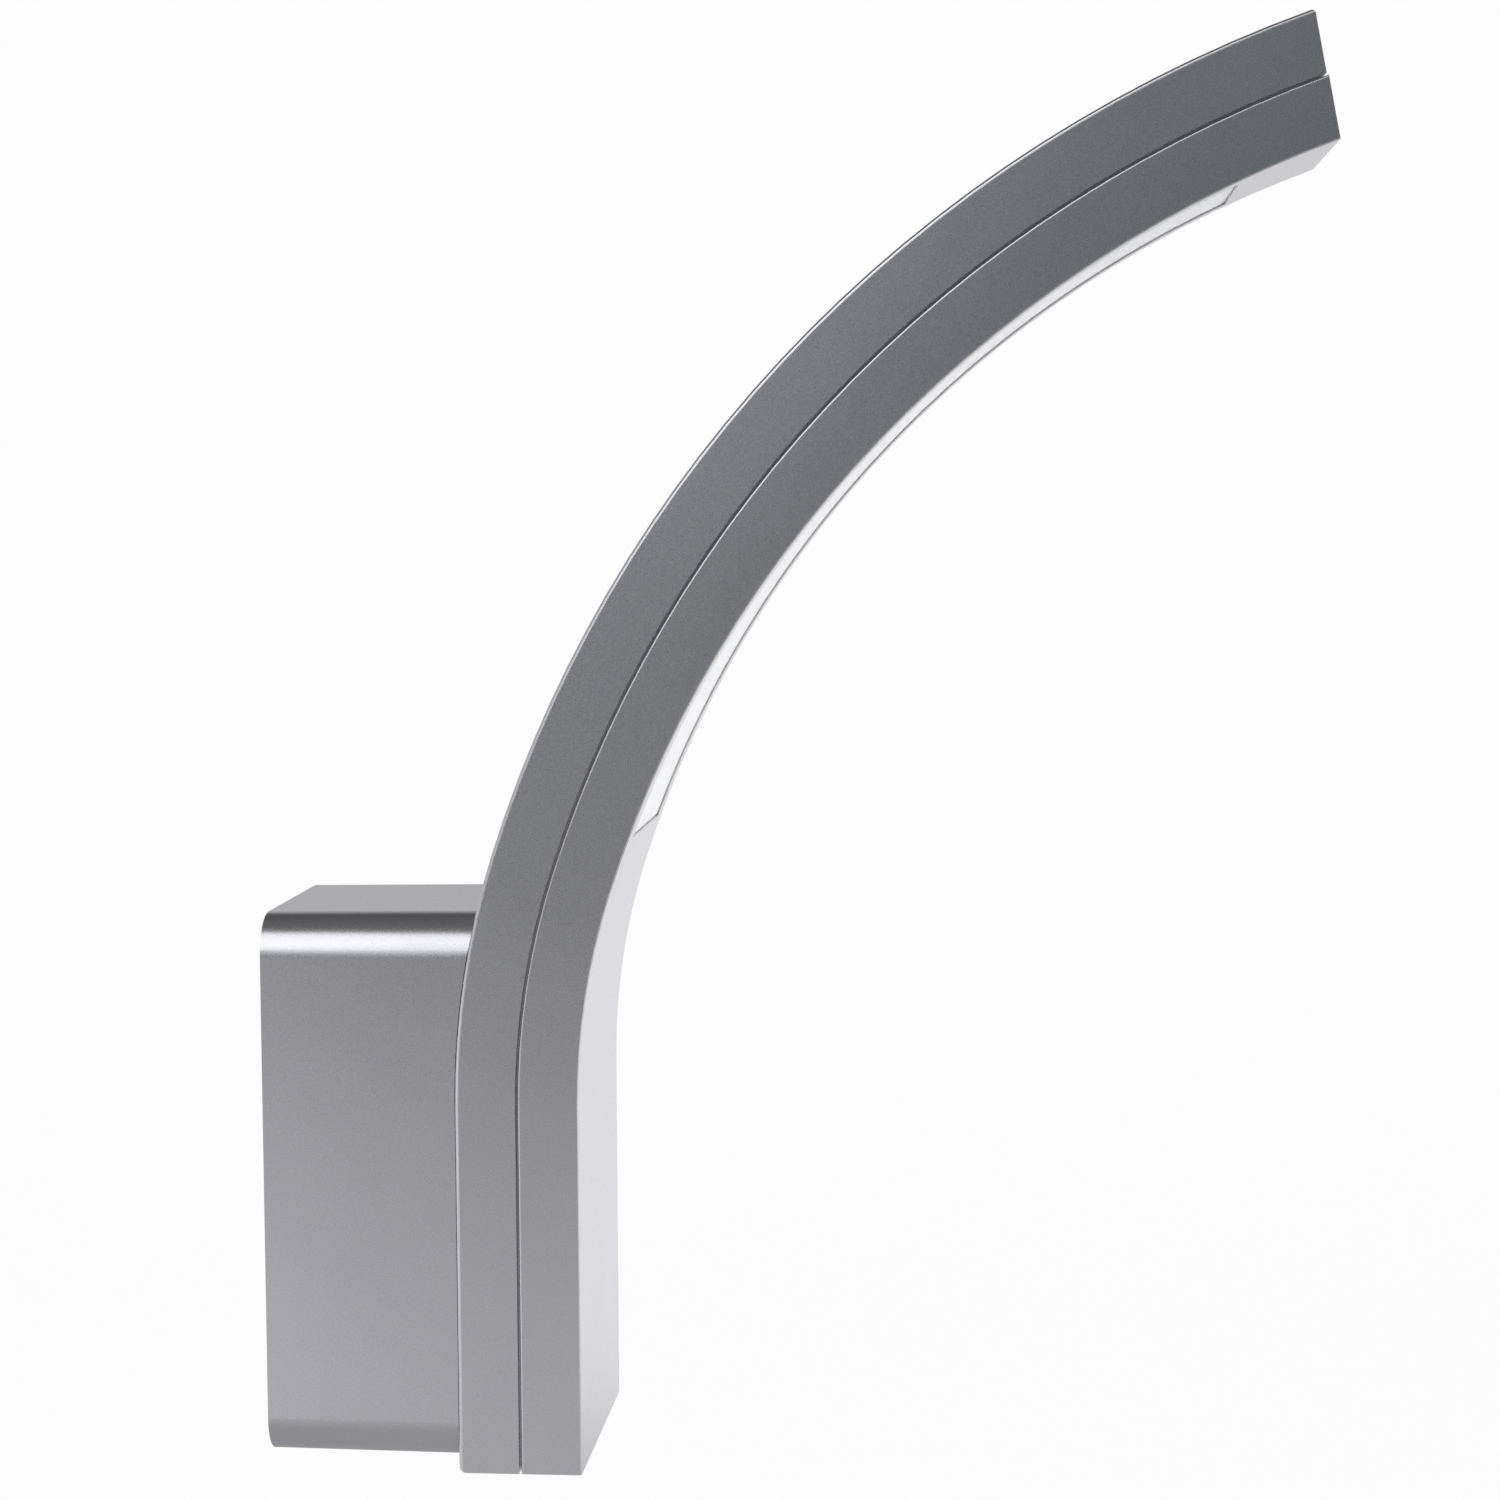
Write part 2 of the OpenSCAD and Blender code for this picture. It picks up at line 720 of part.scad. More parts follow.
module arm_front_shell() {
    color(silver) difference() {
        union() {
            difference() {
                union() {
                    arm_sweep(0, -tip_lip) front_outline();
                    arm_sweep(shell_wall - seam_lip_t, shell_wall - seam_lip_t)
                        band(-seam_lip_h + curve_slip, shell_wall, inner_half_w + seam_lip_t);
                }
                arm_sweep(shell_wall, shell_wall) band(-arm_t, front_inside, inner_half_w);
                upper_sweep(window_s0, window_s1)
                    band(front_inside - cut, front_face + cut, window_half_w);
            }
            at_shell_screws(0) cylinder(d = shell_pillar_d, h = front_inside + shell_wall / 2);
            at_clamp_screws(front_inside - diffuser_flange_t)
                cylinder(d = clamp_boss_d, h = diffuser_flange_t + shell_wall / 2);
        }
        at_shell_screws(-cut)
            cylinder(d = m3_d + 2 * thread_slip,
                     h = shell_screw_l + back_face + head_sink + blind_run + cut);
        at_clamp_screws(front_inside - diffuser_flange_t - cut)
            cylinder(d = clamp_screw_d + 2 * thread_slip, h = clamp_screw_l - clamp_t + blind_run + cut);
    }
}

// Diffuser and its clamps

module diffuser() {
    lap = diffuser_flange_w;
    color(opal) {
        upper_sweep(window_s0 + slip, window_s1 - slip)
            band(front_inside - diffuser_flange_t / 2, front_face - diffuser_recess,
                 window_half_w - slip);
        upper_sweep(window_s0 - diffuser_end_lap, window_s1 + diffuser_end_lap)
            band(front_inside - diffuser_flange_t, front_inside - curve_slip, window_half_w + lap);
    }
}

function clamp_mid_s() = [window_s0 - clamp_back - clamp_l / 2, window_s1 + clamp_back + clamp_l / 2];

// The screws sit past the end of the diffuser's flange
function clamp_screw_shift() = (clamp_l - clamp_boss_d) / 2;

module at_clamp_screws(off) {
    for (i = [0, 1], y = [-clamp_screw_y, clamp_screw_y])
        at_arm(clamp_mid_s()[i] + (2 * i - 1) * clamp_screw_shift(), off, y) along_x() children();
}

module diffuser_clamps() {
    color(steel) difference() {
        for (s = clamp_mid_s())
            upper_sweep(s - clamp_l / 2, s + clamp_l / 2)
                band(clamp_seat, clamp_seat + clamp_t, clamp_w / 2);
        at_clamp_screws(clamp_seat - cut)
            cylinder(d = clamp_screw_d + hole_slip, h = clamp_t + 2 * cut);
    }
}

module clamp_screws() {
    color(zinc) at_clamp_screws(clamp_seat - curve_slip / 2)
        pan_screw(clamp_screw_d, clamp_screw_l, clamp_head_d, clamp_head_h, clamp_recess_w);
}

// Light engine

module led_carrier() {
    color([0.82, 0.83, 0.84]) difference() {
        upper_sweep(window_s0 - rib_run + carrier_t, window_s1 + rib_run - carrier_t)
            band(rib_top + curve_slip, carrier_top, carrier_half_w);
        at_board_screws(rib_top - cut) cylinder(d = m3_d + hole_slip, h = carrier_t + 2 * cut);
    }
}

module led_board() {
    color([0.92, 0.93, 0.9]) difference() {
        upper_sweep(window_s0, window_s1) band(carrier_top + curve_slip, board_top, board_half_w);
        at_board_screws(carrier_top - cut) cylinder(d = m3_d + hole_slip, h = board_t + 2 * cut);
    }
}

module led_chips() {
    run = window_s1 - window_s0 - 2 * connector_l - 4 * connector_margin;
    count = floor(run / chip_pitch) + 1;
    first = (window_s0 + window_s1 - (count - 1) * chip_pitch) / 2;
    color([0.95, 0.87, 0.45])
        for (i = [0:count - 1], y = [-chip_row_y, chip_row_y])
            at_arm(first + i * chip_pitch, chip_seat, y)
                translate([0, -chip_w / 2, -chip_l / 2]) cube([chip_h, chip_w, chip_l]);
}

module led_connector() {
    color([0.95, 0.95, 0.93])
        at_arm(window_s0 + connector_margin + connector_l / 2, chip_seat) difference() {
            translate([0, -connector_w / 2, -connector_l / 2])
                cube([connector_h, connector_w, connector_l]);
            for (y = [-dc_lead_y, dc_lead_y])
                translate([connector_h / 2, y, -connector_l / 2 - cut])
                    cylinder(d = dc_lead_d + 2 * slip, h = connector_l / 2 + cut);
        }
}

module board_screws() {
    color(zinc) at_board_screws(chip_seat) mirror([0, 0, 1])
        pan_screw(m3_d, board_screw_l, m3_head_d, m3_head_h, m3_recess_w);
}

// Fasteners of the housing

module shell_screws() {
    color(zinc) at_shell_screws(back_face + head_sink)
        csk_screw(m3_d, shell_screw_l, m3_csk_d, m3_recess_w);
}

module at_arm_screws(x) {
    for (y = [-arm_screw_y, arm_screw_y], z = arm_screw_z)
        translate([x, y, z]) along_x() children();
}

module arm_screws() {
    color(zinc) at_arm_screws(box_d - box_wall - washer_t)
        pan_screw(m4_d, arm_screw_l, m4_head_d, m4_head_h, m4_recess_w);
}

module arm_screw_washers() {
    color(steel) at_arm_screws(box_d - box_wall - washer_t) difference() {
        cylinder(d = washer_d, h = washer_t);
        translate([0, 0, -cut]) cylinder(d = m4_d + hole_slip, h = washer_t + 2 * cut);
    }
}

module cable_grommet() {
    reach = box_wall + shell_wall + 2 * curve_slip;
    color([0.12, 0.12, 0.12]) at_arm(grommet_s, back_face - box_wall) along_x() difference() {
        union() {
            cylinder(d = grommet_hole_d - 2 * slip, h = reach);
            translate([0, 0, -grommet_flange_t])
                cylinder(d = grommet_flange_d, h = grommet_flange_t);
            translate([0, 0, reach]) cylinder(d = grommet_flange_d, h = grommet_flange_t);
        }
        translate([0, 0, -grommet_flange_t - cut])
            cylinder(d = grommet_bore_d, h = reach + 2 * grommet_flange_t + 2 * cut);
    }
}

// Wall bracket

// Quarter round of bent sheet from the +X direction to the +Z direction
module sheet_bend(width) {
    rotate([90, 0, 0])
        translate([0, 0, -width / 2])
            rotate_extrude(angle = 90)
                translate([bend_r, 0]) square([bracket_t, width]);
}

module wall_bracket() {
    tab_z = hook_z;
    lip_x = bracket_t + hook_gap;
    tab_x1 = lip_x - bend_r;
    color(zinc) difference() {
        union() {
            bracket_plate();
            // Hook that the box hangs on
            translate([bracket_t + bend_r, 0, tab_z - bend_r]) mirror([1, 0, 0]) sheet_bend(hook_w);
            translate([bracket_t + bend_r, -hook_w / 2, tab_z])
                cube([tab_x1 - bracket_t - bend_r, hook_w, bracket_t]);
            translate([tab_x1, 0, tab_z + bracket_t + bend_r]) mirror([0, 0, 1]) sheet_bend(hook_w);
            translate([lip_x, -hook_w / 2, tab_z + bracket_t + bend_r])
                cube([bracket_t, hook_w, hook_lip_h - bend_r]);
            // Ear that takes the locking screws
            translate([bracket_t + bend_r, 0, ear_z + bracket_t + bend_r])
                mirror([1, 0, 0]) mirror([0, 0, 1]) sheet_bend(ear_w);
            translate([bracket_t + bend_r, -ear_w / 2, ear_z])
                cube([ear_l - bracket_t - bend_r, ear_w, bracket_t]);
        }
        for (side = [-1, 1]) translate([-cut, 0, side * wall_screw_spacing / 2]) along_x() wall_slot();
        translate([-cut, 0, 0]) along_x() cylinder(d = cable_hole_d, h = bracket_t + 2 * cut);
        for (y = [-locking_screw_y, locking_screw_y])
            translate([locking_screw_x, y, ear_z - cut])
                cylinder(d = m4_d + hole_slip, h = bracket_t + 2 * cut);
        for (z = peg_z()) translate([-cut, 0, z]) along_x()
            cylinder(d = peg_d + 2 * slip, h = bracket_t + 2 * cut);
    }
}

// Flat part of the bracket against the wall, with its upper corners rounded
module bracket_plate() {
    low = ear_z + bracket_t + bend_r;
    high = hook_z - bend_r;
    half = bracket_w / 2;
    translate([0, -ear_w / 2, low]) cube([bracket_t, ear_w, high - bracket_corner_r - low]);
    translate([0, -half, low + bracket_corner_r])
        cube([bracket_t, bracket_w, high - low - 2 * bracket_corner_r]);
    translate([0, -half + bracket_corner_r, high - 2 * bracket_corner_r])
        cube([bracket_t, bracket_w - 2 * bracket_corner_r, 2 * bracket_corner_r]);
    for (side = [-1, 1])
        translate([0, side * (half - bracket_corner_r), high - bracket_corner_r]) along_x()
            cylinder(r = bracket_corner_r, h = bracket_t);
}

// Slot whose long way is up and down, once it is turned along X
module wall_slot() {
    run = slot_l - slot_w;
    translate([-run / 2, -slot_w / 2, 0]) cube([run, slot_w, bracket_t + 2 * cut]);
    for (side = [-1, 1])
        translate([side * run / 2, 0, 0]) cylinder(d = slot_w, h = bracket_t + 2 * cut);
}

module bracket_nuts() {
    color(steel)
        for (y = [-locking_screw_y, locking_screw_y])
            translate([locking_screw_x, y, ear_z + bracket_t]) difference() {
                cylinder(d = nut_d, h = nut_h);
                translate([0, 0, -cut]) cylinder(d = m4_d + 2 * thread_slip, h = nut_h + 2 * cut);
            }
}

module locking_screws() {
    color(zinc)
        for (y = [-locking_screw_y, locking_screw_y])
            translate([locking_screw_x, y, -box_h / 2 + box_draft + head_sink])
                csk_screw(m4_d, locking_screw_l, m4_csk_d, m4_recess_w);
}

// Terminal block

function peg_z() = [block_z - pole_pitch / 2, block_z + pole_pitch / 2];

module terminal_block() {
    color([0.93, 0.92, 0.88]) difference() {
        union() {
            translate([bracket_t, -block_w / 2, block_z - block_l / 2])
                cube([block_h - block_step_h, block_w, block_l]);
            translate([bracket_t, -block_w / 2 + block_step_w, block_z - block_l / 2])
                cube([block_h, block_w - 2 * block_step_w, block_l]);
            for (z = peg_z())
                translate([slip, 0, z]) along_x() cylinder(d = peg_d, h = bracket_t);
        }
        for (z = pole_z) {
            translate([block_axis_x, -block_w / 2 - cut, z]) along_y()
                cylinder(d = tube_d + 2 * slip, h = block_w + 2 * cut);
            for (y = [-terminal_screw_y, terminal_screw_y])
                translate([block_axis_x, y, z]) along_x()
                    cylinder(d = terminal_well_d, h = block_h + cut);
        }
        // Grooves between the poles
        for (z = peg_z())
            translate([bracket_t + block_h - block_step_h / 2, -block_w, z - block_slip])
                cube([block_step_h, 2 * block_w, 2 * block_slip]);
    }
}

module terminal_clamps() {
    color([0.8, 0.65, 0.3])
        for (z = pole_z)
            difference() {
                translate([block_axis_x, -tube_l / 2, z]) along_y() cylinder(d = tube_d, h = tube_l);
                translate([block_axis_x, -tube_l / 2 - cut, z]) along_y()
                    cylinder(d = tube_bore_d, h = tube_l + 2 * cut);
                for (y = [-terminal_screw_y, terminal_screw_y])
                    translate([block_axis_x, y, z]) along_x()
                        cylinder(d = terminal_screw_d + 2 * thread_slip, h = tube_d);
            }
}

module terminal_screws() {
    color(steel)
        for (z = pole_z, y = [-terminal_screw_y, terminal_screw_y])
            translate([block_axis_x + terminal_tip_gap, y, z]) along_x() difference() {
                cylinder(d = terminal_screw_d, h = terminal_screw_l);
                translate([0, 0, terminal_screw_l - recess_h])
                    cylinder(d = terminal_recess_w, h = recess_h + cut, $fn = 6);
            }
}

// Power supply

module driver_case() {
    depth = driver_t - driver_lid_t;
    x0 = driver_back + driver_lid_t;
    color([0.9, 0.9, 0.88]) difference() {
        union() {
            translate([x0, -driver_w / 2, driver_z0]) cube([depth, driver_w, driver_l]);
            for (place = driver_screw_places())
                translate([driver_front - driver_ear_t, place[0] - driver_ear_w / 2,
                           place[1] - driver_ear_l / 2])
                    cube([driver_ear_t, driver_ear_w, driver_ear_l]);
        }
        translate([x0 - cut, -driver_w / 2 + driver_wall, driver_z0 + driver_wall])
            cube([depth - driver_wall - driver_board_lift + cut, driver_w - 2 * driver_wall,
                  driver_l - 2 * driver_wall]);
        translate([x0, -driver_w / 2 + driver_wall + driver_ledge_w,
                   driver_z0 + driver_wall + driver_ledge_w])
            cube([depth - driver_wall, driver_w - 2 * driver_wall - 2 * driver_ledge_w,
                  driver_l - 2 * driver_wall - 2 * driver_ledge_w]);
        for (place = driver_screw_places())
            translate([driver_front - driver_ear_t - cut, place[0], place[1]]) along_x()
                cylinder(d = m3_d + hole_slip, h = driver_ear_t + 2 * cut);
        for (y = mains_exit_y())
            translate([driver_lead_x, y, driver_z0 - cut])
                cylinder(d = mains_lead_d + hole_slip, h = driver_wall + 2 * cut);
        for (y = [-dc_lead_y, dc_lead_y])
            translate([driver_lead_x, y, driver_z1 - driver_wall - cut])
                cylinder(d = dc_lead_d + hole_slip, h = driver_wall + 2 * cut);
    }
}

function mains_exit_y() = [mains_lead_pitch, 2 * mains_lead_pitch];

module driver_cover() {
    lip = driver_wall + slip;
    color([0.86, 0.86, 0.84]) {
        translate([driver_back, -driver_w / 2, driver_z0]) cube([driver_lid_t, driver_w, driver_l]);
        difference() {
            translate([driver_back, -driver_w / 2 + lip, driver_z0 + lip])
                cube([driver_lid_t + driver_lid_lip, driver_w - 2 * lip, driver_l - 2 * lip]);
            translate([driver_back + driver_lid_t, -driver_w / 2 + lip + driver_ledge_w,
                       driver_z0 + lip + driver_ledge_w])
                cube([driver_lid_lip + cut, driver_w - 2 * lip - 2 * driver_ledge_w,
                      driver_l - 2 * lip - 2 * driver_ledge_w]);
        }
    }
}

// Side of the circuit board that carries the components
board_face_x = driver_front - driver_wall - driver_board_lift - driver_board_t;

module driver_board() {
    edge = driver_wall + slip;
    color([0.1, 0.4, 0.2])
        translate([board_face_x, -driver_w / 2 + edge, driver_z0 + edge])
            cube([driver_board_t, driver_w - 2 * edge, driver_l - 2 * edge]);
}

module driver_transformer() {
    z_mid = driver_z0 + driver_l / 2;
    color([0.25, 0.24, 0.22]) {
        translate([board_face_x - transformer_h, -transformer_w / 2, z_mid - transformer_l / 2])
            cube([transformer_h, transformer_w, transformer_l]);
        translate([board_face_x - bobbin_h, -bobbin_w / 2, z_mid - bobbin_l / 2])
            cube([bobbin_h, bobbin_w, bobbin_l]);
    }
}

module driver_capacitors() {
    color([0.15, 0.18, 0.35])
        for (share = capacitor_z_share)
            translate([board_face_x - capacitor_l, -capacitor_y, driver_z0 + share * driver_l])
                along_x() cylinder(d = capacitor_d, h = capacitor_l);
}

module driver_screws() {
    color(zinc)
        for (place = driver_screw_places())
            translate([driver_front - driver_ear_t, place[0], place[1]]) along_x()
                pan_screw(m3_d, driver_screw_l, m3_head_d, m3_head_h, m3_recess_w);
}

// Earth point

earth_seat_x = box_d - box_wall - earth_boss_h;

module earth_washer() {
    color(steel) translate([earth_seat_x - ring_t - washer_t, earth_y, earth_z]) along_x() difference() {
        cylinder(d = ring_d, h = washer_t);
        translate([0, 0, -cut]) cylinder(d = m4_d + hole_slip, h = washer_t + 2 * cut);
    }
}

module earth_ring() {
    barrel_y0 = earth_y - barrel_reach - barrel_l;
    color(steel) difference() {
        union() {
            translate([earth_seat_x - ring_t, earth_y, earth_z]) along_x()
                cylinder(d = ring_d, h = ring_t);
            translate([earth_seat_x - ring_t, earth_y - barrel_reach, earth_z - barrel_d / 2])
                cube([ring_t, barrel_reach, barrel_d]);
            translate([earth_seat_x - barrel_d / 2, barrel_y0, earth_z]) along_y()
                cylinder(d = barrel_d, h = barrel_l);
        }
        translate([earth_seat_x - ring_t - cut, earth_y, earth_z]) along_x()
            cylinder(d = m4_d + hole_slip, h = ring_t + 2 * cut);
        translate([earth_seat_x - barrel_d / 2, barrel_y0 - cut, earth_z]) along_y()
            cylinder(d = mains_lead_d + 2 * slip, h = barrel_l / 2 + cut);
    }
}

module earth_screw() {
    color(zinc) translate([earth_seat_x - ring_t - washer_t, earth_y, earth_z]) along_x()
        pan_screw(m4_d, earth_screw_l, m4_head_d, m4_head_h, m4_recess_w);
}

// Leads

// From a pole of the block, round to the side and up to the lower end of the power supply
function mains_path(pole, exit_y) = concat(
    [[block_axis_x, block_w / 2 - lead_insert, pole_z[pole]]],
    curve_points([
        [block_axis_x, block_w / 2, pole_z[pole]],
        [block_axis_x, block_w / 2 + exit_y + lead_insert, pole_z[pole]],
        [driver_lead_x, exit_y, driver_z0 - 4 * mains_lead_d],
        [driver_lead_x, exit_y, driver_z0]
    ]),
    [[driver_lead_x, exit_y, driver_z0 + lead_insert]]
);

module live_lead() {
    color([0.45, 0.27, 0.12]) lead_tube(mains_path(2, mains_exit_y()[0]), mains_lead_d);
}

module neutral_lead() {
    color([0.15, 0.3, 0.7]) lead_tube(mains_path(1, mains_exit_y()[1]), mains_lead_d);
}

module earth_lead() {
    end_y = earth_y - barrel_reach - barrel_l;
    axis_x = earth_seat_x - barrel_d / 2;
    color([0.55, 0.7, 0.15]) lead_tube(concat(
        [[block_axis_x, block_w / 2 - lead_insert, pole_z[0]]],
        curve_points([
            [block_axis_x, block_w / 2, pole_z[0]],
            [block_axis_x, block_w / 2 + 2 * barrel_l, pole_z[0]],
            [axis_x, end_y - 2 * barrel_l, earth_z],
            [axis_x, end_y, earth_z]
        ]),
        [[axis_x, end_y + barrel_l / 2 - slip, earth_z]]
    ), mains_lead_d);
}

// From the upper end of the power supply through the grommet and up the arm to the board
module dc_lead(y) {
    mid = connector_h / 2 + chip_seat;
    entry = arm_point(grommet_s, back_face - box_wall - grommet_flange_t, y);
    exit = arm_point(grommet_s, back_inside + grommet_flange_t, y);
    inward = unit(exit - entry);
    turn_end = grommet_s + grommet_flange_d;
    plug_s = window_s0 + connector_margin;
    color(y < 0 ? [0.1, 0.1, 0.1] : [0.7, 0.1, 0.1]) lead_tube(concat(
        [[driver_lead_x, y, driver_z1 - lead_insert]],
        curve_points([
            [driver_lead_x, y, driver_z1],
            [driver_lead_x, y, driver_z1 + grommet_flange_d / 2],
            entry - grommet_flange_d / 2 * inward,
            entry
        ]),
        curve_points([
            exit,
            exit + grommet_flange_d / 2 * inward,
            arm_point(turn_end - grommet_flange_d / 2, mid, y),
            arm_point(turn_end, mid, y)
        ]),
        [for (i = [1:lead_steps])
            arm_point(turn_end + i / lead_steps * (plug_s - turn_end + connector_l / 2 - slip), mid, y)]
    ), dc_lead_d);
}

module positive_lead() {
    dc_lead(dc_lead_y);
}

module negative_lead() {
    dc_lead(-dc_lead_y);
}

wall_box();
arm_rear_shell();
arm_front_shell();
diffuser();
wall_bracket();
bracket_nuts();
locking_screws();
arm_screws();
arm_screw_washers();
shell_screws();
cable_grommet();
led_carrier();
led_board();
led_chips();
led_connector();
board_screws();
diffuser_clamps();
clamp_screws();
driver_case();
driver_cover();
driver_board();
driver_transformer();
driver_capacitors();
driver_screws();
terminal_block();
terminal_clamps();
terminal_screws();
live_lead();
neutral_lead();
earth_lead();
earth_ring();
earth_screw();
earth_washer();
positive_lead();
negative_lead();
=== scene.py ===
"""Looks of the silver wall light: its finishes, the studio and the camera.

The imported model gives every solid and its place, and no solid is added to it. This script
gives each solid its finish, sets up the studio and places the camera.
"""

import json
import logging
import math
from collections.abc import Iterable
from dataclasses import dataclass, field, fields
from enum import Enum
from typing import Any

import bmesh
import bpy
from mathutils import Matrix, Vector

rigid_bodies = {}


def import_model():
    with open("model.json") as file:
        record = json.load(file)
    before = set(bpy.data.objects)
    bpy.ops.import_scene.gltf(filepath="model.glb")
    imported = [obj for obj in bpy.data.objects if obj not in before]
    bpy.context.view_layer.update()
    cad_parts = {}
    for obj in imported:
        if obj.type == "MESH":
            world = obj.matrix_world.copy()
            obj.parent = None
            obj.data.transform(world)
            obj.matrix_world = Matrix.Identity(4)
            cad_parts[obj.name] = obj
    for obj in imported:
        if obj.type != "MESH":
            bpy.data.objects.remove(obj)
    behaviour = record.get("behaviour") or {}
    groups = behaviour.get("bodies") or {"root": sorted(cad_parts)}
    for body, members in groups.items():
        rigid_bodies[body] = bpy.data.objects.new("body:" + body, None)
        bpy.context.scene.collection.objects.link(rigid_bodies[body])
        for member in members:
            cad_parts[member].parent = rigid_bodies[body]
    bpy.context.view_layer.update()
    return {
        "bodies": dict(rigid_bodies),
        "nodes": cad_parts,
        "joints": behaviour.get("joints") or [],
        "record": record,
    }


LOG = logging.getLogger("wall_light")

Colour = tuple[float, float, float]
Triple = tuple[float, float, float]
Stop = tuple[float, float, float]
Node = bpy.types.Node
Socket = bpy.types.NodeSocket
Tree = bpy.types.NodeTree

# Socket types of a node group.
NUMBER, VECTOR, COLOUR = "NodeSocketFloat", "NodeSocketVector", "NodeSocketColor"
ZERO = (0.0, 0.0, 0.0)

# Socket numbers of a Mix node, for numbers and for colours.
MIX_SHARE = 0
MIX_NUMBER_A, MIX_NUMBER_B, MIX_NUMBER_OUT = 2, 3, 0
MIX_COLOUR_A, MIX_COLOUR_B, MIX_COLOUR_OUT = 6, 7, 2


class Pattern(Enum):
    """The fine relief that a finish carries, by the name of its node group."""

    FLAKE = "paint_flake"
    ERODED = "moulded_grain"
    ROLLED = "rolled_lines"
    SPANGLE = "zinc_spangle"


class Slot(Enum):
    """The record's material slots, one for each finish."""

    SILVER_PAINT = "silver_paint"
    OPAL_PLASTIC = "opal_plastic"
    GALVANISED_SHEET = "galvanised_sheet"
    ZINC_SCREW = "zinc_screw"
    SPRING_STEEL = "spring_steel"
    BLACK_RUBBER = "black_rubber"
    ALUMINIUM_STRIP = "aluminium_strip"
    WHITE_BOARD = "white_board"
    YELLOW_PHOSPHOR = "yellow_phosphor"
    WHITE_CONNECTOR = "white_connector"
    WHITE_CASE = "white_case"
    GREEN_BOARD = "green_board"
    DARK_CORE = "dark_core"
    CAPACITOR_SLEEVE = "capacitor_sleeve"
    NATURAL_BLOCK = "natural_block"
    BRASS_CLAMP = "brass_clamp"
    BROWN_INSULATION = "brown_insulation"
    BLUE_INSULATION = "blue_insulation"
    EARTH_INSULATION = "earth_insulation"
    RED_INSULATION = "red_insulation"
    BLACK_INSULATION = "black_insulation"


class Sheet:
    """A node tree with short ways to add nodes and wire them up."""

    def __init__(self, tree: Tree) -> None:
        """Keeps the tree that the nodes go into."""
        self.tree = tree

    def add(self, kind: str, settings: dict[str, Any] | None = None,
            inputs: dict[str | int, Any] | None = None) -> Node:
        """Adds one node.

        Args:
            kind: The node's type name in Blender.
            settings: Attributes of the node and their values.
            inputs: Socket names or numbers, each with a value or a socket to wire from.

        Returns:
            The new node.
        """
        node = self.tree.nodes.new(kind)
        for name, value in (settings or {}).items():
            setattr(node, name, value)
        for name, value in (inputs or {}).items():
            if isinstance(value, Socket):
                self.wire(value, node.inputs[name])
            else:
                node.inputs[name].default_value = value
        return node

    def wire(self, source: Socket, target: Socket) -> None:
        """Wires one socket to another."""
        self.tree.links.new(source, target)

    def reckon(self, operation: str, *values: Socket | float) -> Socket:
        """Adds a sum on one to three numbers and gives its result."""
        numbers = dict(enumerate(values))
        return self.add("ShaderNodeMath", {"operation": operation}, numbers).outputs[0]

    def spread(self, value: Socket, low: float, high: float, to_low: float = 0.0,
               to_high: float = 1.0) -> Socket:
        """Stretches one span of a number to another and cuts it off beyond.

        Args:
            value: The number.
            low: Start of the span.
            high: End of the span, which may lie below its start.
            to_low: What the start becomes.
            to_high: What the end becomes.

        Returns:
            The stretched number.
        """
        spans = {"From Min": low, "From Max": high, "To Min": to_low, "To Max": to_high}
        return self.add("ShaderNodeMapRange", {}, {"Value": value, **spans}).outputs[0]

    def blend(self, share: Socket, first: Socket | tuple, second: Socket | tuple) -> Socket:
        """Blends two colours.

        Args:
            share: The share of the second colour.
            first: The first colour.
            second: The second colour.

        Returns:
            The blended colour.
        """
        mix = self.add("ShaderNodeMix", {"data_type": "RGBA"},
                       {MIX_SHARE: share, MIX_COLOUR_A: first, MIX_COLOUR_B: second})
        return mix.outputs[MIX_COLOUR_OUT]

    def noise(self, place: Socket, scale: Socket | float, detail: float,
              roughness: float = 0.5) -> Node:
        """Adds a cloudy noise.

        Args:
            place: The coordinates.
            scale: How many clouds lie in a metre.
            detail: How many finer layers lie on them.
            roughness: How strong the finer layers are.

        Returns:
            The noise node.
        """
        return self.add("ShaderNodeTexNoise", {"noise_dimensions": "3D"},
                        {"Vector": place, "Scale": scale, "Detail": detail, "Roughness": roughness})

    def cells(self, place: Socket, scale: Socket) -> Node:
        """Adds a pattern of cells, each with its own random colour."""
        return self.add("ShaderNodeTexVoronoi", {"feature": "F1"},
                        {"Vector": place, "Scale": scale})

    def place_group(self, tree: Tree, inputs: dict[str, Any]) -> Node:
        """Adds a node that holds a shared group."""
        return self.add("ShaderNodeGroup", {"node_tree": tree}, inputs)


